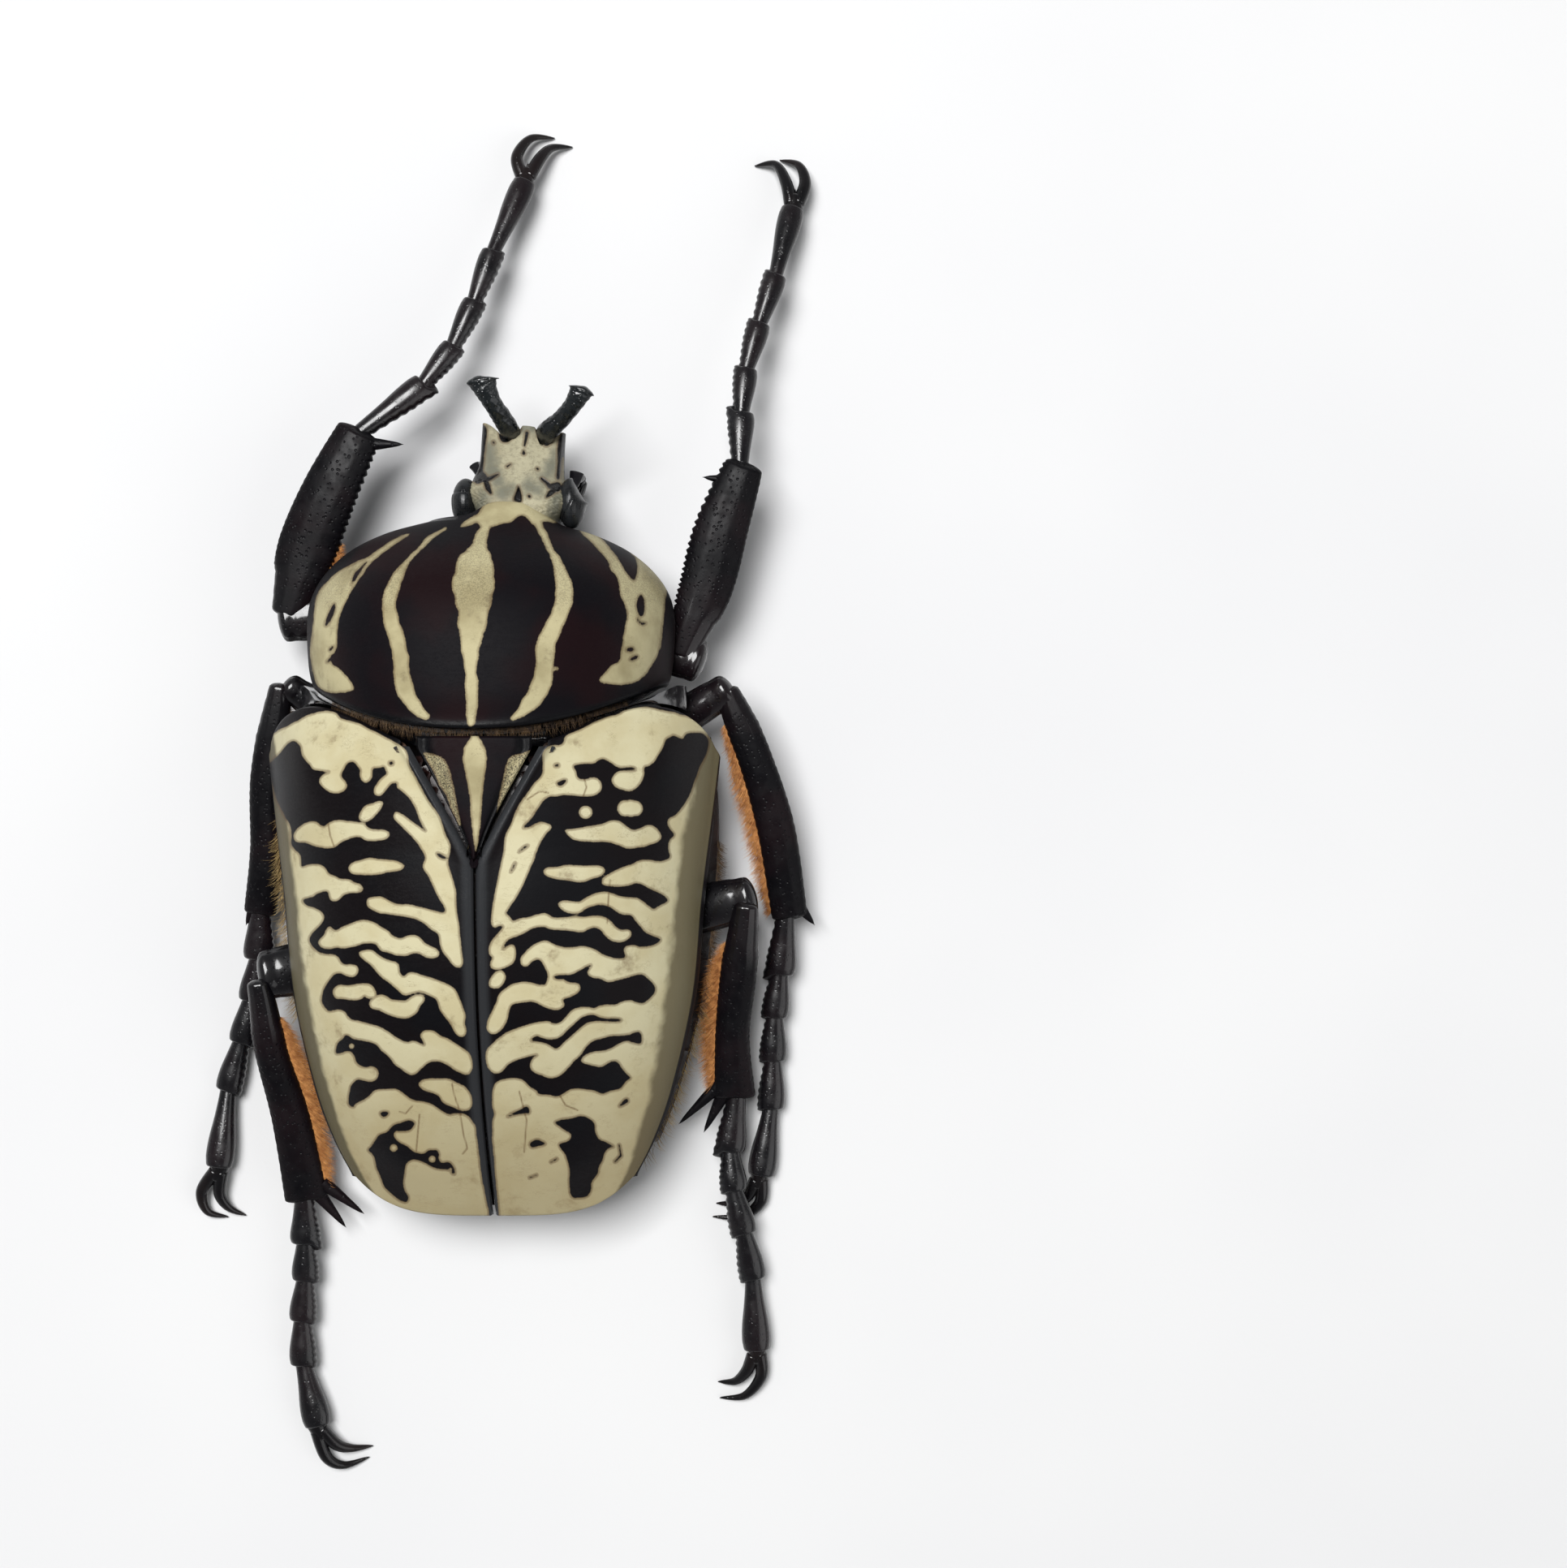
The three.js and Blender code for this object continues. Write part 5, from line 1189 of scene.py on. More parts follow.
def head_place(t, turn):
    run, opening, _ = closing(t, 0.05)
    spread = np.cos(turn)
    across = np.sign(spread) * (1 - (1 - np.abs(spread)) ** 0.8)
    inner = across * opening
    deeper = 1.06 * ramp(np.abs(inner), 0.15, 0.25) - 0.06
    notch = 2.9 * run**6 * np.cos(inner * math.pi / 2) ** 2 * deeper
    y = run * HEAD_LENGTH - notch
    arch = np.sqrt(np.maximum(1 - across**4, 0))
    middle = mix(head_top(y), head_under(y), 0.42)
    upper = np.sin(turn) >= 0
    z = np.where(upper, mix(middle, head_top(y), arch), mix(middle - 0.3, head_under(y), arch))
    ahead = ramp(y, 3.6, 1.5)
    side_rim = hump(np.abs(across), 0.93, 0.05) * ahead * 0.38
    dish = hump(np.abs(across), 0.5, 0.28) * ahead * 0.30
    keel = hump(across, 0, 0.16) * ramp(y, 6, 3) * 0.35
    z = z + upper * (side_rim - dish + keel)
    half = head_half_width(y) - np.sign(spread) * head_lean(y)
    points = on_head(inner * half, y, mix(middle, z, opening))
    pixels = photo_pixels(points)
    marks = np.max([depth_in_stroke(pixels, hook) for hook in HEAD_HOOKS[:4]], axis=0)
    dent = depth_inside(pixels, HEAD_TRIANGLE)
    pit = np.clip(marks / 3 + 0.6, 0, 1) * 0.28 + np.clip(dent / 3 + 0.4, 0, 1) * 0.4
    rough = (y < 3.4) * (y > 0.6) * (np.abs(across) > 0.55)
    x, y = points[:, 0], points[:, 1]
    lumps = np.sin(x * 9.1 + 3 * np.sin(y * 5)) * np.sin(y * 8.3 + x * 3)
    points[:, 2] += upper * (rough * 0.12 * lumps - pit * opening)
    return points


head_cream, tree, shader, where = new_material("head_cream")
pattern, coat = bloomed(
    tree, where, 1.3, colour(170, 164, 138), colour(146, 139, 114), colour(104, 92, 68))
clouds = noise_of(tree, where, 420, 4, 0.65)
# the cream turns grey-green along the listed HEAD_GREY strokes, beside the side rims, the eyes, the dark
# triangle and between the horn roots
patches = calculate(tree, "MULTIPLY_ADD", clouds, 22.0, stored(tree, "grey"))
greyed = rising(tree, patches, 4, 20, 0, 0.85)
cream = mixed(tree, greyed, coat["Color"], colour(104, 105, 93))
speckle = rising(tree, noise_of(tree, where, 1900, 5, 0.8), 0.48, 0.62, 0, 0.45)
cream = mixed(tree, speckle, cream, colour(112, 107, 88))
worn = rising(tree, noise_of(tree, where, 900, 3), 0.4, 0.7)
black = mixed(tree, worn, colour(13, 12, 14), colour(30, 28, 27))
skin = cream_on_black(tree, pattern, black, cream, 0.45)
rough = mixed(tree, pattern["Cream"], grey(0.28), grey(0.5))
height = calculate(tree, "MULTIPLY_ADD", noise_of(tree, where, 2400, 4, 0.7), 1.0, coat["Height"])
feed(tree, shader, Base_Color=skin, Roughness=rough, Normal=bump_of(tree, height, 0.45, 0.07))
shader.inputs["Specular IOR Level"].default_value = 0.25

head, t, turn = rounded_body("head", 240, 150, head_place)
pixels = photo_pixels(places_of(head) / MM)
depth = np.where(np.sin(turn) > 0.02, 12.0, -12.0)
depth = np.minimum(depth, -depth_inside(pixels, HEAD_TRIANGLE, 1))
for outline in HEAD_SIDE_RIMS + HORN_ROOTS:
    depth = np.minimum(depth, -depth_inside(pixels, outline))
for line in HEAD_HOOKS:
    depth = np.minimum(depth, -0.7 - depth_in_stroke(pixels, line))
store(head, "cream", depth)
store(head, "grey", np.max([depth_in_stroke(pixels, line) for line in HEAD_GREY], axis=0))
finish_piece(head, head_cream, "head_cream", "head")

# Horn: two flattened black arms that fork from the front of the head and end squarely,
# one rigid growth of the shell, pitted above.
def photo_place(across, down, height):
    """The place at a height, in millimetres, that shows at a pixel of the photograph."""
    scale = PIXEL_ON_FLOOR * (CAMERA_PLACE[2] - height) / CAMERA_PLACE[2]
    return (CAMERA_PLACE[0] + (across - PHOTO_MIDDLE[0]) * scale,
            CAMERA_PLACE[1] - (down - PHOTO_MIDDLE[1]) * scale, height)


def along_route(points, t):
    """Places and directions on a smooth line through the points, t from 0 to 1."""
    stops = np.array([points[0], *points, points[-1]], float)
    place = np.clip(t, 0, 1) * (len(points) - 1)
    first = np.minimum(place.astype(int), len(points) - 2)
    f = (place - first)[:, None]
    a, b, c, d = (stops[first + i] for i in range(4))
    turning, twisting = 2 * a - 5 * b + 4 * c - d, 3 * b - a - 3 * c + d
    centre = 0.5 * (2 * b + (c - a) * f + turning * f**2 + twisting * f**3)
    return centre, unit((c - a) + 2 * turning * f + 3 * twisting * f**2)


def cross_frame(points, t):
    """On a route: its places, and the directions along it, across it and over it."""
    centre, along = along_route(points, t)
    across = unit(np.stack([along[:, 1], -along[:, 0], 0 * t], 1))
    return centre, along, across, np.cross(across, along)


FLOOR_CLEARANCE = 0.02


def limb(name, route, sides, rings, section, share=0.06, cap=0.3):
    """A closed limb on a route. section(run, turn) gives half width, half height, push."""
    def place(t, turn):
        run, opening, end = closing(t, share)
        centre, along, across, over = cross_frame(route, run)
        width, height, push = section(run, turn)
        points = centre + across * (np.cos(turn) * opening * width)[:, None]
        points += over * (np.sin(turn) * opening * height)[:, None]
        points += along * (end * cap + push)[:, None]
        points[:, 2] = np.maximum(points[:, 2], FLOOR_CLEARANCE)
        return points

    return rounded_body(name, sides, rings, place)


def table(values):
    """A smooth run of values spaced evenly from 0 to 1."""
    return profile([(i / (len(values) - 1), value) for i, value in enumerate(values)])


def one_piece(name, pieces):
    deselect()
    for part in pieces:
        part.select_set(True)
    bpy.context.view_layer.objects.active = pieces[0]
    bpy.ops.object.join()
    pieces[0].name = name
    return pieces[0]


horn_black = cuticle(
    "horn_black", colour(11, 15, 17), colour(20, 24, 26), colour(40, 46, 46),
    pit_scale=2600, pit_depth=0.12, rough=0.24, gloss=0.6)
# across, down, height and half width, from the root to the squared end
LEFT_ARM = [
    (633, 543, 8.8, 1.0), (627.5, 529.5, 11.8, 1.06), (618, 513.5, 13.2, 1.02),
    (607.5, 497.5, 14.4, 0.97), (599, 481, 15.1, 1.2), (593.8, 467.5, 15.4, 1.62),
]
RIGHT_ARM = [
    (667, 544, 8.8, 1.12), (674.5, 532, 11.8, 1.12), (690.5, 517.5, 13.2, 0.96),
    (704.5, 501, 14.4, 0.94), (712.5, 488, 15.1, 1.1), (717, 479.5, 15.3, 1.32),
]


def horn_arm(stations, slant):
    widths = table([station[3] for station in stations])

    def section(run, turn):
        pits = 0.05 * np.sin(run * 61 + 2 * np.sin(turn * 3)) * np.sin(turn * 5 + run * 17)
        end = ramp(run, 0.9, 0.1)
        push = slant * end * np.cos(turn) - 0.22 * end * np.cos(turn) ** 2
        return widths(run) + 0.12 * end**2 + pits, 0.86 - 0.18 * run + 0.08 * end + pits, push

    route = [photo_place(*station[:3]) for station in stations]
    return limb("arm", route, 40, 70, section, share=0.05, cap=0.42)[0]


horn = one_piece("horn", [horn_arm(LEFT_ARM, -0.33), horn_arm(RIGHT_ARM, 0.2)])
finish_piece(horn, horn_black, "horn_black", "horn", angle=70)

# Eyes: shiny black balls of tiny lenses set in the sides of the head, each crossed by
# a narrow hard brace.
EYE_RADII = (1.55, 2.7, 2.3)
eye_black, tree, shader, where = new_material("eye")
cells = add_node(tree, "TexVoronoi", {"Vector": where, "Scale": 5200.0, "Randomness": 0.25})
lenses = cells.outputs["Distance"]
shade = rising(tree, noise_of(tree, where, 700, 3), 0.4, 0.7)
base = mixed(tree, shade, colour(11, 13, 16), colour(28, 31, 34))
base = mixed(tree, rising(tree, lenses, 0.3, 0.6, 0, 0.3), base, colour(48, 47, 46))
feed(tree, shader, Base_Color=base, Roughness=rising(tree, shade, 0, 1, 0.24, 0.40),
     Normal=bump_of(tree, lenses, 0.35, 0.04))
shader.inputs["Specular IOR Level"].default_value = 0.35

for side, name in ((-1, "eye_left"), (1, "eye_right")):
    def eye_place(t, turn, side=side):
        girth = np.sin(math.pi * t)
        x, y, z = girth * np.cos(turn), girth * np.sin(turn), np.cos(math.pi * t)
        ahead = np.clip(y, 0, 1)
        seam = hump(y, 0.36, 0.05)
        lobe = ramp(y, 0.36, 0.1)
        size = 1 - 0.07 * seam - 0.05 * lobe
        if side > 0:
            straight = (1 - ahead) / np.sqrt(np.maximum(1 - ahead**2, 1e-4))
            x = mix(x, x * straight, np.clip(x * 4, 0, 1))
            x = x + 0.12 * hump(y, 0, 0.12) * np.clip(x, 0, 1) ** 4
            size = 1 - 0.05 * np.exp(-((y - x + 0.1) / 0.05) ** 2)
        centre = on_head(side * 5.6, 1.65 + 0.65 * side, 11.9)
        return centre + np.stack([x * size, y * size, z * size], 1) * EYE_RADII

    piece, t, turn = rounded_body(name, 64, 48, eye_place)
    finish_piece(piece, eye_black, "eye", name)

# Antennae: hard and glossy black, hinged in front of each eye. A flat three-cornered
# base, a thin stalk, and a club of leaves folded back under the head.
for side, name in ((-1, "antenna_left"), (1, "antenna_right")):
    def head_route(*places, side=side):
        return [on_head(side * x, y, z) for x, y, z in places]

    def scape_section(run, turn, side=side):
        return 0.35 + (0.35 + 0.1 * side) * run, 0.42 - 0.12 * run, 0 * run

    def stalk_section(run, turn):
        return 0.40 + 0.06 * np.abs(np.sin(run * 16)), 0.42, 0 * run

    def leaf_section(run, turn):
        swell = np.sin(math.pi * run)
        return 0.3 + 0.2 * swell, 0.45 + 0.4 * swell, 0 * run

    far = (5.85, 5.6, 8.0) if side < 0 else (5.35, 6.1, 8.0)
    route = head_route((4.6, 3.5, 8.6), (5.2, 4.8, 8.4), far)
    pieces = [limb("scape", route, 24, 24, scape_section, share=0.1, cap=0.15)[0]]
    route = head_route((5.3, 5.2, 7.8), (5.7, 5.9, 5.6), (5.3, 5.2, 3.7))
    pieces.append(limb("stalk", route, 14, 24, stalk_section)[0])
    for dx, dz in ((-0.36, 0), (0, 0.05), (0.36, 0)):
        leaf = ((5.5 + dx, 5.6, 3.8 + dz), (4.9 + dx, 3.8, 3.2 + dz), (4.3 + dx, 1.9, 3.0 + dz))
        route = head_route(*leaf)
        pieces.append(limb("leaf", route, 14, 20, leaf_section)[0])
    finish_piece(one_piece(name, pieces), gloss_black, "gloss_black", name)

# Mouthparts: the hard, glossy chin plate under the head, with a short jointed feeler on
# each side, all hinged in soft skin.
def chin_place(t, turn):
    run, opening, _ = closing(t, 0.10)
    across = np.cos(turn)
    y = mix(4.0, 8.4, run)
    half = 2.5 * np.sqrt(1 - 0.6 * (2 * run - 1) ** 2)
    under = head_under(y) - 0.35
    z = np.where(np.sin(turn) >= 0, under - 0.1 * across**2, under - 1.1 - 0.3 * (1 - across**2))
    z = z + (np.sin(turn) < 0) * 0.2 * hump(across, 0, 0.08)
    return on_head(across * half * opening, y, mix(under - 0.6, z, opening))


def palp_section(run, turn):
    half = 0.33 + 0.08 * np.abs(np.sin(run * 9.4))
    return half, half, 0 * run


PALP_ROUTE = ((1.8, 6.8, 5.2), (2.5, 8.6, 5.3), (2.2, 10.2, 5.2))
pieces = [rounded_body("chin", 60, 36, chin_place)[0]]
for side in (-1, 1):
    route = [on_head(side * x, y, z) for x, y, z in PALP_ROUTE]
    pieces.append(limb("palp", route, 14, 24, palp_section)[0])
finish_piece(one_piece("mouthparts", pieces), gloss_black, "gloss_black", "mouthparts")

# Legs: coxa, femur, tibia, five tarsal segments and a pair of claws, all hard tubes
# that hinge in soft skin. The front tibiae are broad and saw-edged.
LEGS = {
    "front_left": {
        "side": -1, "hip": (-5.5, 28.5, 4.6), "knee": (-23.2, 26.6, 7.3),
        "femur_half": 3.0, "taper": 0.12,
        "tibia": [(-22.0, 29.9, 8.2), (-20.6, 34, 8.6), (-18.0, 40, 9.4), (-15.0, 46.0, 9.6)],
        "half": [2.5, 3.3, 3.1, 2.5], "teeth": (1, 0.35),
        "spurs": [[(-14.0, 45.2, 9.6), (-10.2, 45.1, 10.0)]],
        "tarsus": [(-13.7, 47.4, 9), (-8.2, 51.8, 8), (-5.1, 56.1, 7), (-2.9, 61.2, 6), (-1.0, 66.9, 5),
                   (2.3, 75.2, 3)],
        "claws": [[(2.0, 75.9, 2.9), (1.4, 78.2, 2.5), (2.8, 80.5, 1.5), (5.2, 80.9, 0.3)],
                  [(2.8, 75.9, 2.9), (4.0, 78.2, 2.2), (5.2, 79.5, 1.4), (7.2, 79.9, 0.3)]],
    },
    "front_right": {
        "side": 1, "hip": (6.5, 27.5, 4.6), "knee": (21.6, 21.9, 7.3),
        "femur_half": 2.7, "taper": 0.12,
        "tibia": [(20.9, 25.6, 8.2), (22.6, 30, 8.6), (24.2, 36, 9.2), (26.5, 42.4, 9.6)],
        "half": [2.4, 3.0, 3.0, 2.2], "teeth": (-1, 0.35),
        "spurs": [[(26.0, 41.2, 9.4), (22.5, 41.6, 9.6)]],
        "tarsus": [(26.3, 43.8, 9), (26.4, 48.6, 8), (26.9, 53.6, 7), (28.3, 58.8, 6), (30.1, 64.3, 5),
                   (32.0, 72.2, 3)],
        "claws": [[(31.8, 72.9, 2.9), (31.3, 75.3, 2.5), (30.1, 77.6, 1.5), (27.9, 77.8, 0.3)],
                  [(32.6, 72.9, 2.9), (33.4, 75.3, 2.3), (32.7, 77.5, 1.5), (30.7, 78.4, 0.3)]],
    },
    "mid_left": {
        "side": -1, "hip": (-6.3, 7.5, 2.0), "knee": (-22.4, 18.9, 8.8),
        "femur_half": 2.3, "taper": 0.32,
        "tibia": [(-23.8, 17.0, 8.8), (-25.2, 9, 7.4), (-25.6, 1.4, 5.8), (-26.7, -5.2, 4.2)],
        "half": [1.7, 1.9, 1.9, 1.8], "teeth": (-1, 0.10),
        "spurs": [[(-27.2, -4.2, 4.4), (-28.3, -6.9, 4.0)]],
        "tarsus": [(-26.8, -6.0, 4), (-27.2, -10.7, 3.2), (-28.1, -15.4, 2.6), (-29.3, -20.1, 2.1),
                   (-30.9, -25.5, 1.7), (-31.9, -34.0, 1.9)],
        "claws": [[(-32.3, -34.6, 1.9), (-33.9, -37.0, 1.5), (-33.4, -39.3, 0.9), (-31.4, -40.0, 0.3)],
                  [(-31.6, -34.7, 1.9), (-31.9, -37.2, 1.5), (-31.0, -38.9, 0.9), (-29.4, -39.8, 0.3)]],
    },
    "mid_right": {
        "side": 1, "hip": (6.3, 7.5, 2.0), "knee": (24.7, 18.6, 9.3),
        "femur_half": 2.4, "taper": 0.25,
        "tibia": [(25.5, 17.2, 9.2), (28.0, 11, 8.2), (30.2, 3.5, 6.6), (31.6, -5.6, 4.4)],
        "half": [1.8, 1.9, 2.1, 2.0], "teeth": (1, 0.10),
        "spurs": [[(32.4, -4.6, 4.4), (34.3, -6.9, 4.0)]],
        "tarsus": [(31.1, -7.2, 4), (30.6, -12.4, 3.2), (30.0, -17.2, 2.6), (29.8, -22.1, 2.1),
                   (29.6, -27.5, 1.7), (28.5, -35.0, 1.5)],
        "claws": [[(28.6, -35.6, 1.4), (28.4, -38.2, 1.1), (26.3, -39.9, 0.7), (23.2, -40.0, 0.3)],
                  [(27.9, -35.7, 1.4), (26.9, -37.6, 1.1), (25.4, -38.4, 0.7), (23.6, -38.5, 0.3)]],
    },
    "hind_left": {
        "side": -1, "hip": (-6.3, -8.6, 2.0), "knee": (-25.0, -12.2, 8.9),
        "femur_half": 3.3, "taper": 0.2,
        "tibia": [(-25.2, -16.3, 9.0), (-24.6, -21, 7.8), (-23.0, -28, 6.0), (-21.8, -36.8, 3.9)],
        "half": [1.8, 1.8, 2.1, 2.4], "teeth": (-1, 0.08),
        "spurs": [[(-19.8, -35.6, 4.0), (-15.6, -38.9, 3.6)], [(-20.4, -36.8, 3.8), (-17.6, -40.4, 3.4)]],
        "tarsus": [(-22.0, -38.4, 3.6), (-22.0, -42.2, 3.1), (-22.1, -46.4, 2.7), (-22.5, -51.0, 2.3),
                   (-22.5, -56.0, 1.9), (-20.9, -62.8, 1.9)],
        "claws": [[(-20.5, -63.4, 1.8), (-18.9, -65.2, 1.4), (-17.3, -65.8, 0.8), (-15.2, -65.7, 0.3)],
                  [(-21.0, -63.6, 1.8), (-20.0, -66.6, 1.4), (-18.2, -67.7, 0.8), (-15.6, -67.0, 0.3)]],
    },
    "hind_right": {
        "side": 1, "hip": (6.3, -8.6, 2.0), "knee": (27.2, -3.9, 9.2),
        "femur_half": 3.0, "taper": 0.2,
        "tibia": [(26.6, -7.9, 9.6), (26.0, -13, 8.2), (25.4, -19, 6.4), (25.6, -25.4, 4.5)],
        "half": [1.9, 2.0, 1.9, 2.3], "teeth": (1, 0.08),
        "spurs": [[(24.0, -24.6, 4.6), (19.6, -28.9, 4.0)], [(24.4, -25.6, 4.4), (22.3, -29.8, 3.8)]],
        "tarsus": [(25.7, -27.0, 4.2), (25.1, -31.9, 3.8), (25.5, -36.3, 3.7), (26.6, -41.1, 3.4),
                   (27.6, -46.3, 2.4), (28.0, -54.4, 1.8)],
        "claws": [[(28.4, -55.0, 1.7), (28.5, -57.6, 1.3), (26.7, -59.9, 0.8), (24.0, -60.3, 0.3)],
                  [(27.6, -55.2, 1.7), (26.9, -57.0, 1.3), (25.6, -58.3, 0.8), (23.8, -58.5, 0.3)]],
    },
}

leg_black = cuticle(
    "leg_black", colour(10, 9, 12), colour(20, 13, 16), colour(32, 28, 31),
    pit_scale=1900, pit_depth=0.10, rough=0.42, gloss=0.12)
tarsus_black = cuticle(
    "tarsus_black", colour(12, 11, 14), colour(22, 15, 18), colour(34, 29, 31),
    pit_scale=2600, pit_depth=0.03, rough=0.25)
claw_black = cuticle(
    "claw", colour(13, 12, 14), colour(26, 20, 20), colour(44, 40, 40),
    pit_scale=3200, pit_depth=0.02, rough=0.16)


def coxa(leg, name):
    x, y, z = leg["hip"]
    side = leg["side"]
    route = [(x - side * 3.0, y + 0.6, z - 0.5), (x, y, z), (x + side * 0.7, y, z + 0.3)]

    def section(run, turn):
        swell = np.sin(math.pi * run)
        fold = 0.12 * hump(run, 0.72, 0.05)
        return 1.6 + 0.5 * swell - fold, 1.4 + 0.1 * swell - fold, 0 * run

    return limb(name, route, 48, 30, section, share=0.12, cap=0.2)[0]


def femur(leg, name):
    hip, knee = np.array(leg["hip"]), np.array(leg["knee"])
    out = (knee - hip) / np.linalg.norm(knee - hip)
    start = hip + out * 1.7
    half, taper = leg["femur_half"], leg["taper"]

    def section(run, turn):
        belly = 0.72 + 0.28 * np.sin(math.pi * np.minimum(run, 0.5))
        belly = belly * (1 - taper * ramp(run, 0.35, 0.65) ** 1.2)
        seam = 0.10 * hump(np.abs(np.cos(turn)), 0.92, 0.05)
        collar = 0.06 * hump(run, 0.92, 0.03)
        return half * belly - seam - collar, 1.72 * belly - seam - collar, 0 * run

    middle = (start + knee) / 2 + np.array([0, 0, 0.4])
    piece, t, turn = limb(name, [start, middle, knee], 64, 70, section, share=0.10, cap=0.9)
    store(piece, "wet", ramp(t, 0.45, 0.2))
    return piece


def spur_section(run, turn):
    point = (1 - run) ** 0.8
    return 0.78 * point + 0.06, 0.6 * point + 0.06, 0 * run


def tibia(leg, name):
    halves = table(leg["half"])
    tooth_side, tooth = leg["teeth"]
    reach = math.dist(leg["tibia"][0], leg["knee"]) * 0.8

    def section(run, turn):
        waist = 0.80 + 0.20 * np.minimum(1, run * 6)
        edge = np.clip(np.cos(turn) * tooth_side, 0, 1) ** 6
        saw = np.abs((run * 26) % 1 - 0.35) / 0.65
        far = np.clip(-np.cos(turn) * tooth_side, 0, 1) ** 6
        ridge = 0.03 * hump(np.abs(turn - math.pi / 2), 0.35, 0.12)
        groove = 0.02 * hump(turn, math.pi / 2, 0.12)
        width = halves(run) * waist - tooth * edge * saw * (run > 0.12) - 0.05 * far * saw
        thick = 1.12 + 0.15 * np.sin(math.pi * run)
        lip = 0.35 * ramp(run, 0.90, 0.10) * np.abs(np.cos(turn)) ** 2
        neck = np.clip(1 - run / 0.10, 0, 1)
        width = width * (1 - 0.12 * neck**1.5)
        return width, thick * (1 - 0.2 * neck) + ridge - groove, lip - reach * neck

    shaft, t, turn = limb("shaft", leg["tibia"], 72, 150, section, share=0.04, cap=0.6)
    store(shaft, "wet", np.clip(1 - t / 0.26, 0, 1) ** 0.7)
    spurs = []
    for start, end in leg["spurs"]:
        middle = tuple((a + b) / 2 for a, b in zip(start, end))
        spurs.append(limb("spur", [start, middle, end], 16, 20, spur_section)[0])
    return one_piece(name, [shaft, *spurs])


def tarsus(leg, name):
    segments = []
    joints = [np.array(joint) for joint in leg["tarsus"]]
    forwards = joints[5][1] > joints[0][1]
    inner = -leg["side"] if forwards else leg["side"]
    for index, (start, end) in enumerate(zip(joints, joints[1:])):
        last = index == 4
        bend = 0 if last else joints[index + 2] - end
        middle = (start + end) / 2 - bend * 0.02
        overlap = (end - start) / np.linalg.norm(end - start) * (0.35 if index else 1.3)
        spur = 0.4 if index else 1.0
        plump = (1.0 if index else 1.12) * (1.0 if forwards else 1.14)

        def section(run, turn, last=last, spur=spur, plump=plump):
            """Narrow at the root and widest near the foot, with a spine on the inner side."""
            inwards = np.cos(turn) * inner
            flat = np.clip(inwards, 0, 1) + 0.15 * np.clip(-inwards, 0, 1)
            swell = np.sin(math.pi / 2 * ramp(run, 0, 0.8) ** 1.5)
            swell = swell * (1 - 0.18 * ramp(run, 0.85, 0.15))
            if last:
                return (0.76 + 0.62 * swell**1.3) * plump, 0.62 + 0.42 * swell, 0 * run
            half = (0.80 + 0.52 * swell) * plump
            spine = 1.15 * spur * ramp(run, 0.80, 0.2) ** 1.5 * ramp(flat, 0.45, 0.55) ** 1.5
            step = 0.07 * np.sin(run * 50) * flat**4
            return half + step + 0.30 * spine, 0.70 + 0.34 * swell, spine * 0.7

        route = [start - overlap, middle, end]
        segment, t, turn = limb("segment", route, 36, 44, section, share=0.09)
        store(segment, "wet", 0 * t + 0.25)
        segments.append(segment)
    return one_piece(name, segments)


def claws(leg, name):
    """Two hooks on a knuckle, with a short bristle between them."""
    def hook_section(run, turn):
        point = 1 - 0.88 * run**1.9
        return 0.76 * point, 0.66 * point, 0 * run

    def knuckle_section(run, turn):
        return 1.0 - 0.25 * run**2, 0.68, 0 * run

    def bristle_section(run, turn):
        return 0.2 - 0.1 * run, 0.2 - 0.1 * run, 0 * run

    root, next_place = np.mean(np.array(leg["claws"])[:, :2], axis=0)
    ahead = next_place - root
    pieces = []
    for route in leg["claws"]:
        pieces.append(limb("hook", route, 20, 40, hook_section, share=0.04, cap=0.2)[0])
    route = [root - ahead * 0.5, root, root + ahead * 0.3]
    pieces.append(limb("knuckle", route, 20, 14, knuckle_section, share=0.2, cap=0.4)[0])
    route = [root, root + ahead * 0.3, root + ahead * 0.62]
    pieces.append(limb("bristle", route, 10, 12, bristle_section)[0])
    return one_piece(name, pieces)


LEG_PARTS = (("coxa", coxa, leg_black, "leg_black"), ("femur", femur, leg_black, "leg_black"),
             ("tibia", tibia, leg_black, "leg_black"), ("tarsus", tarsus, tarsus_black, "leg_black"),
             ("claws", claws, claw_black, "claw"))
for leg_name, leg in LEGS.items():
    for part_name, build, material, slot in LEG_PARTS:
        name = f"leg_{leg_name}_{part_name}"
        finish_piece(build(leg, name), material, slot, name, angle=60)

# Hair: orange and brown brushes along the tibiae, pale and brown hairs along the flanks
# and a short fringe under the collar, each hair rooted in a pore of the shell.
HAIR_SIDES = 3
HAIR_RINGS = ((0.0, 1.0), (0.4, 0.85), (0.75, 0.5), (1.0, 0.1))
HAIR_CLEARANCE = 0.05
PATCH = 0.003


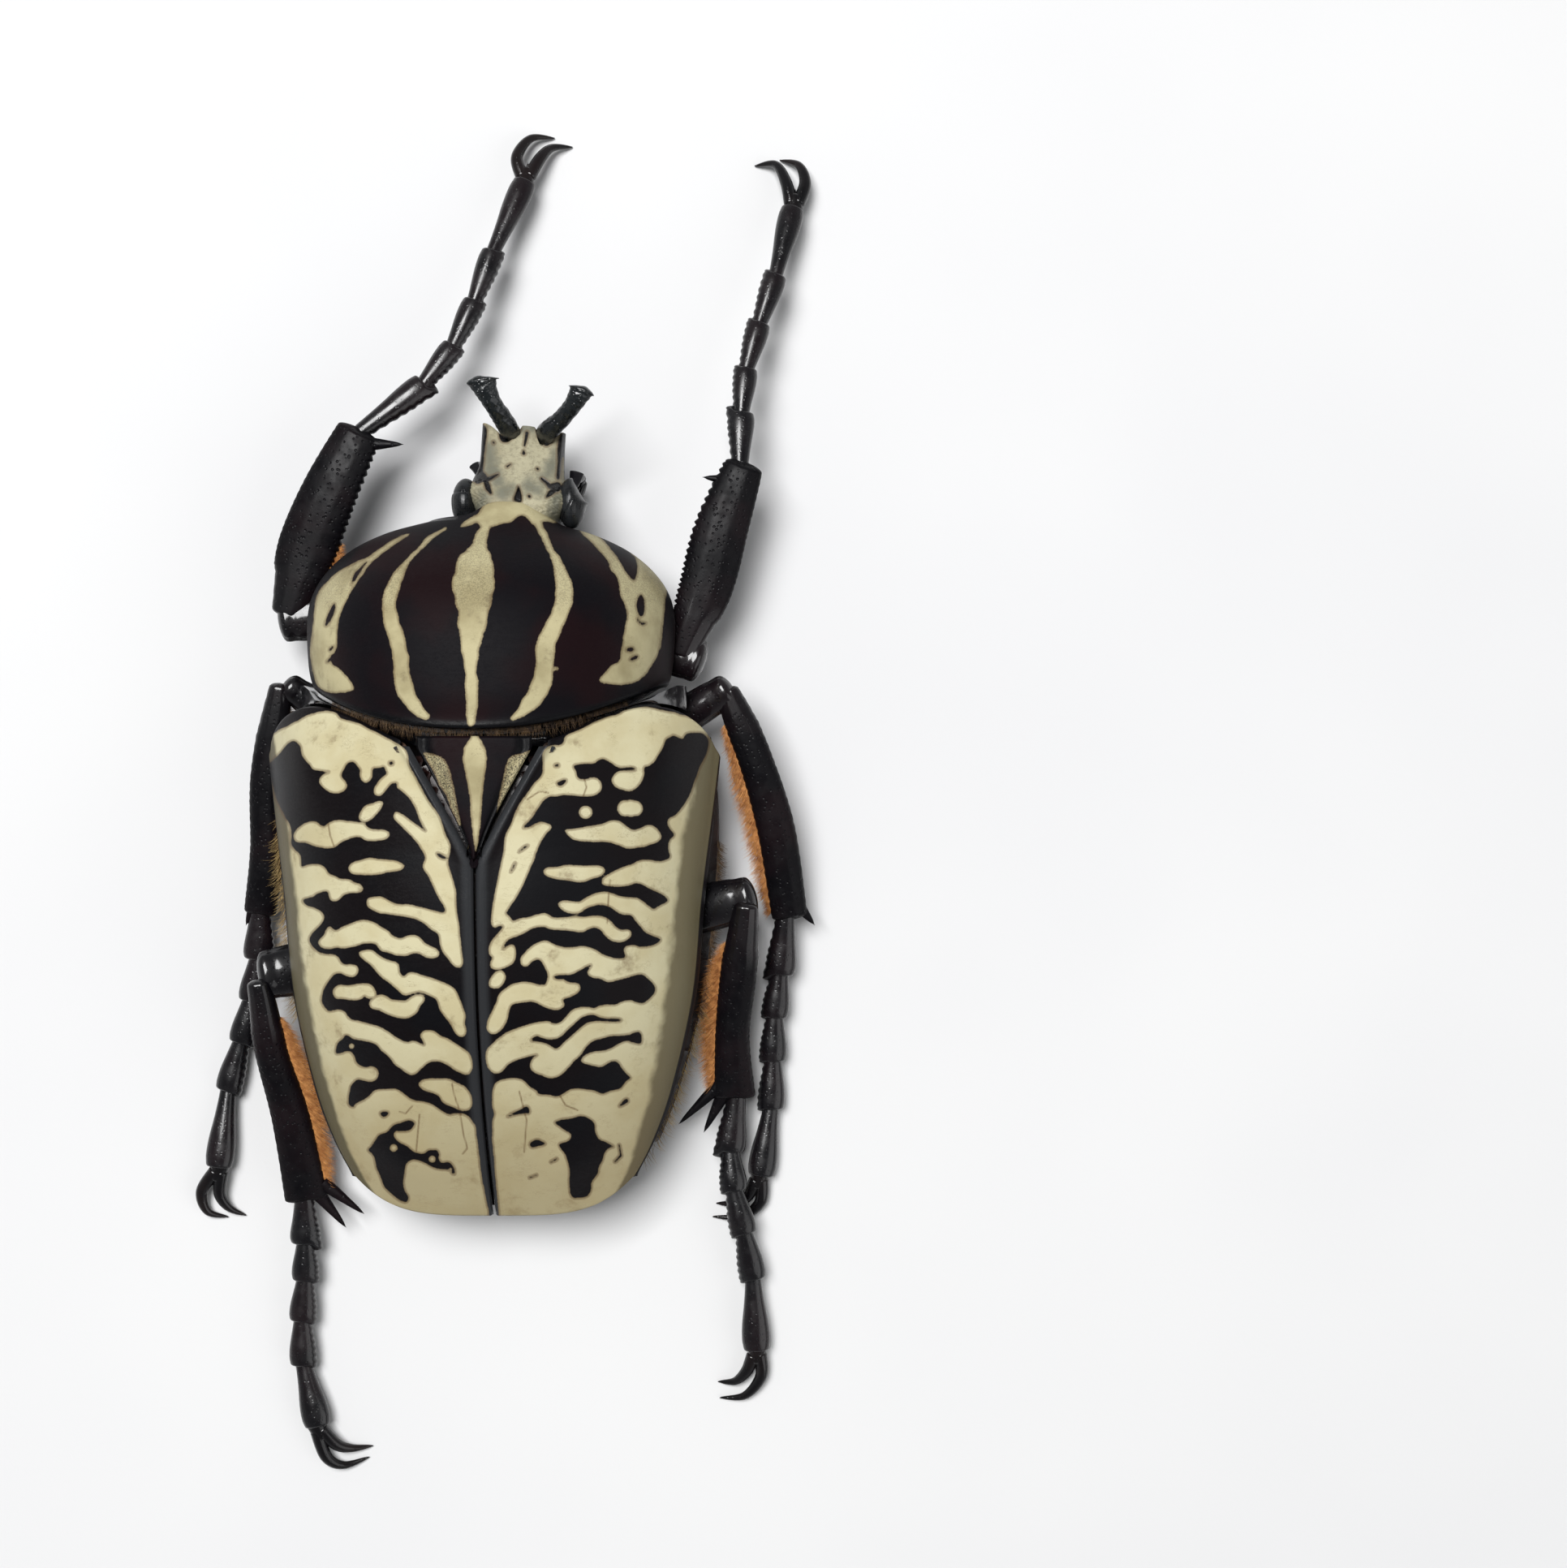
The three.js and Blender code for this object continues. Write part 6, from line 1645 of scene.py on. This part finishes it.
def hair_coat(name, roots, tips, sag, radius, unwrap, material):
    """Hairs as thin three-sided spikes, bent by sag, with the root's place as their UV."""
    along = unit(tips - roots)
    across = unit(np.cross(along, (0.13, 0.21, 0.97)))
    over = np.cross(along, across)
    rings = []
    for share, width in HAIR_RINGS:
        centre = mix(roots, tips, share) + sag * math.sin(math.pi * share)
        for side in range(HAIR_SIDES):
            angle = 2 * math.pi * side / HAIR_SIDES
            rings.append(centre + radius * width * (across * math.cos(angle) + over * math.sin(angle)))
    points = np.stack(rings, 1)
    points[..., 2] = np.maximum(points[..., 2], HAIR_CLEARANCE)
    faces = [(2, 1, 0), (9, 10, 11)]
    for ring in range(len(HAIR_RINGS) - 1):
        for side in range(HAIR_SIDES):
            a, b = (ring * HAIR_SIDES + corner % HAIR_SIDES for corner in (side, side + 1))
            faces += [(a, b, b + HAIR_SIDES), (a, b + HAIR_SIDES, a + HAIR_SIDES)]
    starts = np.arange(len(roots))[:, None, None] * len(rings)
    every = (starts + np.array(faces)).reshape(-1, 3)
    mesh = bpy.data.meshes.new(name)
    mesh.from_pydata((points.reshape(-1, 3) * MM).tolist(), [], every.tolist())
    piece = bpy.data.objects.new(name, mesh)
    bpy.context.scene.collection.objects.link(piece)
    corner = np.tile([(0, 0), (PATCH, 0), (PATCH / 2, PATCH)], (len(every), 1))
    layer = mesh.uv_layers.new(name="OFBake")
    layer.data.foreach_set("uv", (np.repeat(unwrap, len(faces) * 3, axis=0) + corner).ravel())
    mesh.materials.append(material)
    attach(piece, "root")


def hair_colour(name, light, dark):
    made, tree, shader, where = new_material(name)
    shade = rising(tree, noise_of(tree, where, 1500, 3, 0.7), 0.35, 0.65)
    streak = noise_of(tree, where, 9000, 2)
    feed(tree, shader, Base_Color=mixed(tree, shade, dark, light), Roughness=0.55,
         Normal=bump_of(tree, streak, 0.2, 0.02))
    return made


orange_hair = hair_colour("orange_hair", colour(204, 144, 82), colour(152, 94, 46))
brown_hair = hair_colour("brown_hair", colour(100, 78, 52), colour(50, 36, 26))
pale_hair = hair_colour("pale_hair", colour(176, 150, 96), colour(112, 88, 52))
random = np.random.default_rng(7)


def brush_on_tibia(leg_name, side, start, end, length, count, material, spread, lean, radius):
    """A brush along one edge of a tibia, its hairs leaning towards the foot."""
    leg = LEGS[leg_name]
    run = start + (end - start) * random.random(count)
    centre, along, across, over = cross_frame(leg["tibia"], run)
    waist = 0.62 + 0.38 * np.minimum(1, run * 6)
    half = table(leg["half"])(run) * waist
    turn = -np.abs(random.normal(0, 0.55, count))
    root = centre + across * (side * half * 0.93 * np.cos(turn))[:, None]
    root += over * (1.05 * np.sin(turn))[:, None]
    out = across * side + along * (lean + random.normal(0, spread, count))[:, None]
    out += over * random.normal(0, spread, count)[:, None]
    # shorter at both ends of the brush
    place = np.clip((run - start) / (end - start), 0.06, 0.94)
    size = length * (0.55 + 0.6 * random.random(count)) * np.sin(math.pi * place) ** 0.4
    tip = root + unit(out) * size[:, None]
    unwrap = np.stack([0.02 + 0.94 * run, 0.5 + 0.9 * turn / (2 * math.pi)], 1)
    name = f"brush_{leg_name}"
    hair_coat(name, root, tip, along * 0.12, radius, unwrap, material)


# leg, side, from and to along the tibia, length, hairs, colour, spread, lean, thickness
brush_on_tibia("mid_left", -1, 0.0, 0.25, 1.5, 500, brown_hair, 0.3, -0.2, 0.026)
brush_on_tibia("mid_right", 1, 0.10, 0.97, 2.6, 3400, orange_hair, 0.26, 1.0, 0.024)
brush_on_tibia("hind_left", -1, 0.04, 0.98, 3.0, 3600, orange_hair, 0.26, 1.0, 0.024)
brush_on_tibia("hind_right", 1, 0.06, 0.98, 3.0, 3600, orange_hair, 0.26, 1.0, 0.024)
brush_on_tibia("front_left", 1, 0.04, 0.42, 1.7, 900, orange_hair, 0.25, 0.9, 0.024)


FINE_HAIR = 0.022


def flank_hair(name, side, front_v, rear_v, length, count, material):
    """Fine hairs along the edge of the abdomen, below the margin of a wing case."""
    v = front_v + (rear_v - front_v) * random.random(count)
    edge = elytron_surface(0 * v + 1, v)
    back = elytron_surface(0 * v + 1, np.minimum(v + 0.01, 1)) - edge
    out = unit(np.stack([-back[:, 1], back[:, 0], 0 * v], 1))
    root = edge + np.stack([side_bulge(edge[:, 1]) - 0.5, 0 * v, -2.4 - 1.6 * random.random(count)], 1)
    aim = unit(out + 0.8 * unit(back) + random.normal(0, 0.35, (count, 3)))
    tip = root + aim * (length * (0.5 + 0.6 * random.random(count)))[:, None]
    flip = np.array([side, 1, 1])
    unwrap = np.stack([0.02 + 0.94 * v, 0.5 + 0.3 * side + 0.02 * (root[:, 2] - edge[:, 2])], 1)
    sag = np.array([0, -0.15, 0.1])
    hair_coat(name, root * flip, tip * flip, sag, FINE_HAIR, unwrap, material)


flank_hair("flank_hair_left", -1, 0.12, 0.62, 1.9, 420, pale_hair)
flank_hair("flank_hair_right", 1, 0.20, 0.62, 1.4, 900, brown_hair)
flank_hair("rear_hair_right", 1, 0.60, 0.97, 1.9, 200, pale_hair)

FRINGE_HAIRS = 900
u = random.uniform(0.16, 0.84, FRINGE_HAIRS)
root = pronotum_surface(u, 0 * u) + np.array([0, 0.4, -1.2])
aside = random.normal(0, 0.35, FRINGE_HAIRS)
back = -0.7 - 0.9 * random.random(FRINGE_HAIRS)
down = -0.2 - 0.3 * random.random(FRINGE_HAIRS)
tip = root + np.stack([aside, back, down], 1) * 1.2
unwrap = np.stack([0.02 + 0.94 * u, 0.02 * random.random(FRINGE_HAIRS)], 1)
sag = np.array([0, 0, 0.15])
hair_coat("collar_fringe", root, tip, sag, FINE_HAIR, unwrap, brown_hair)
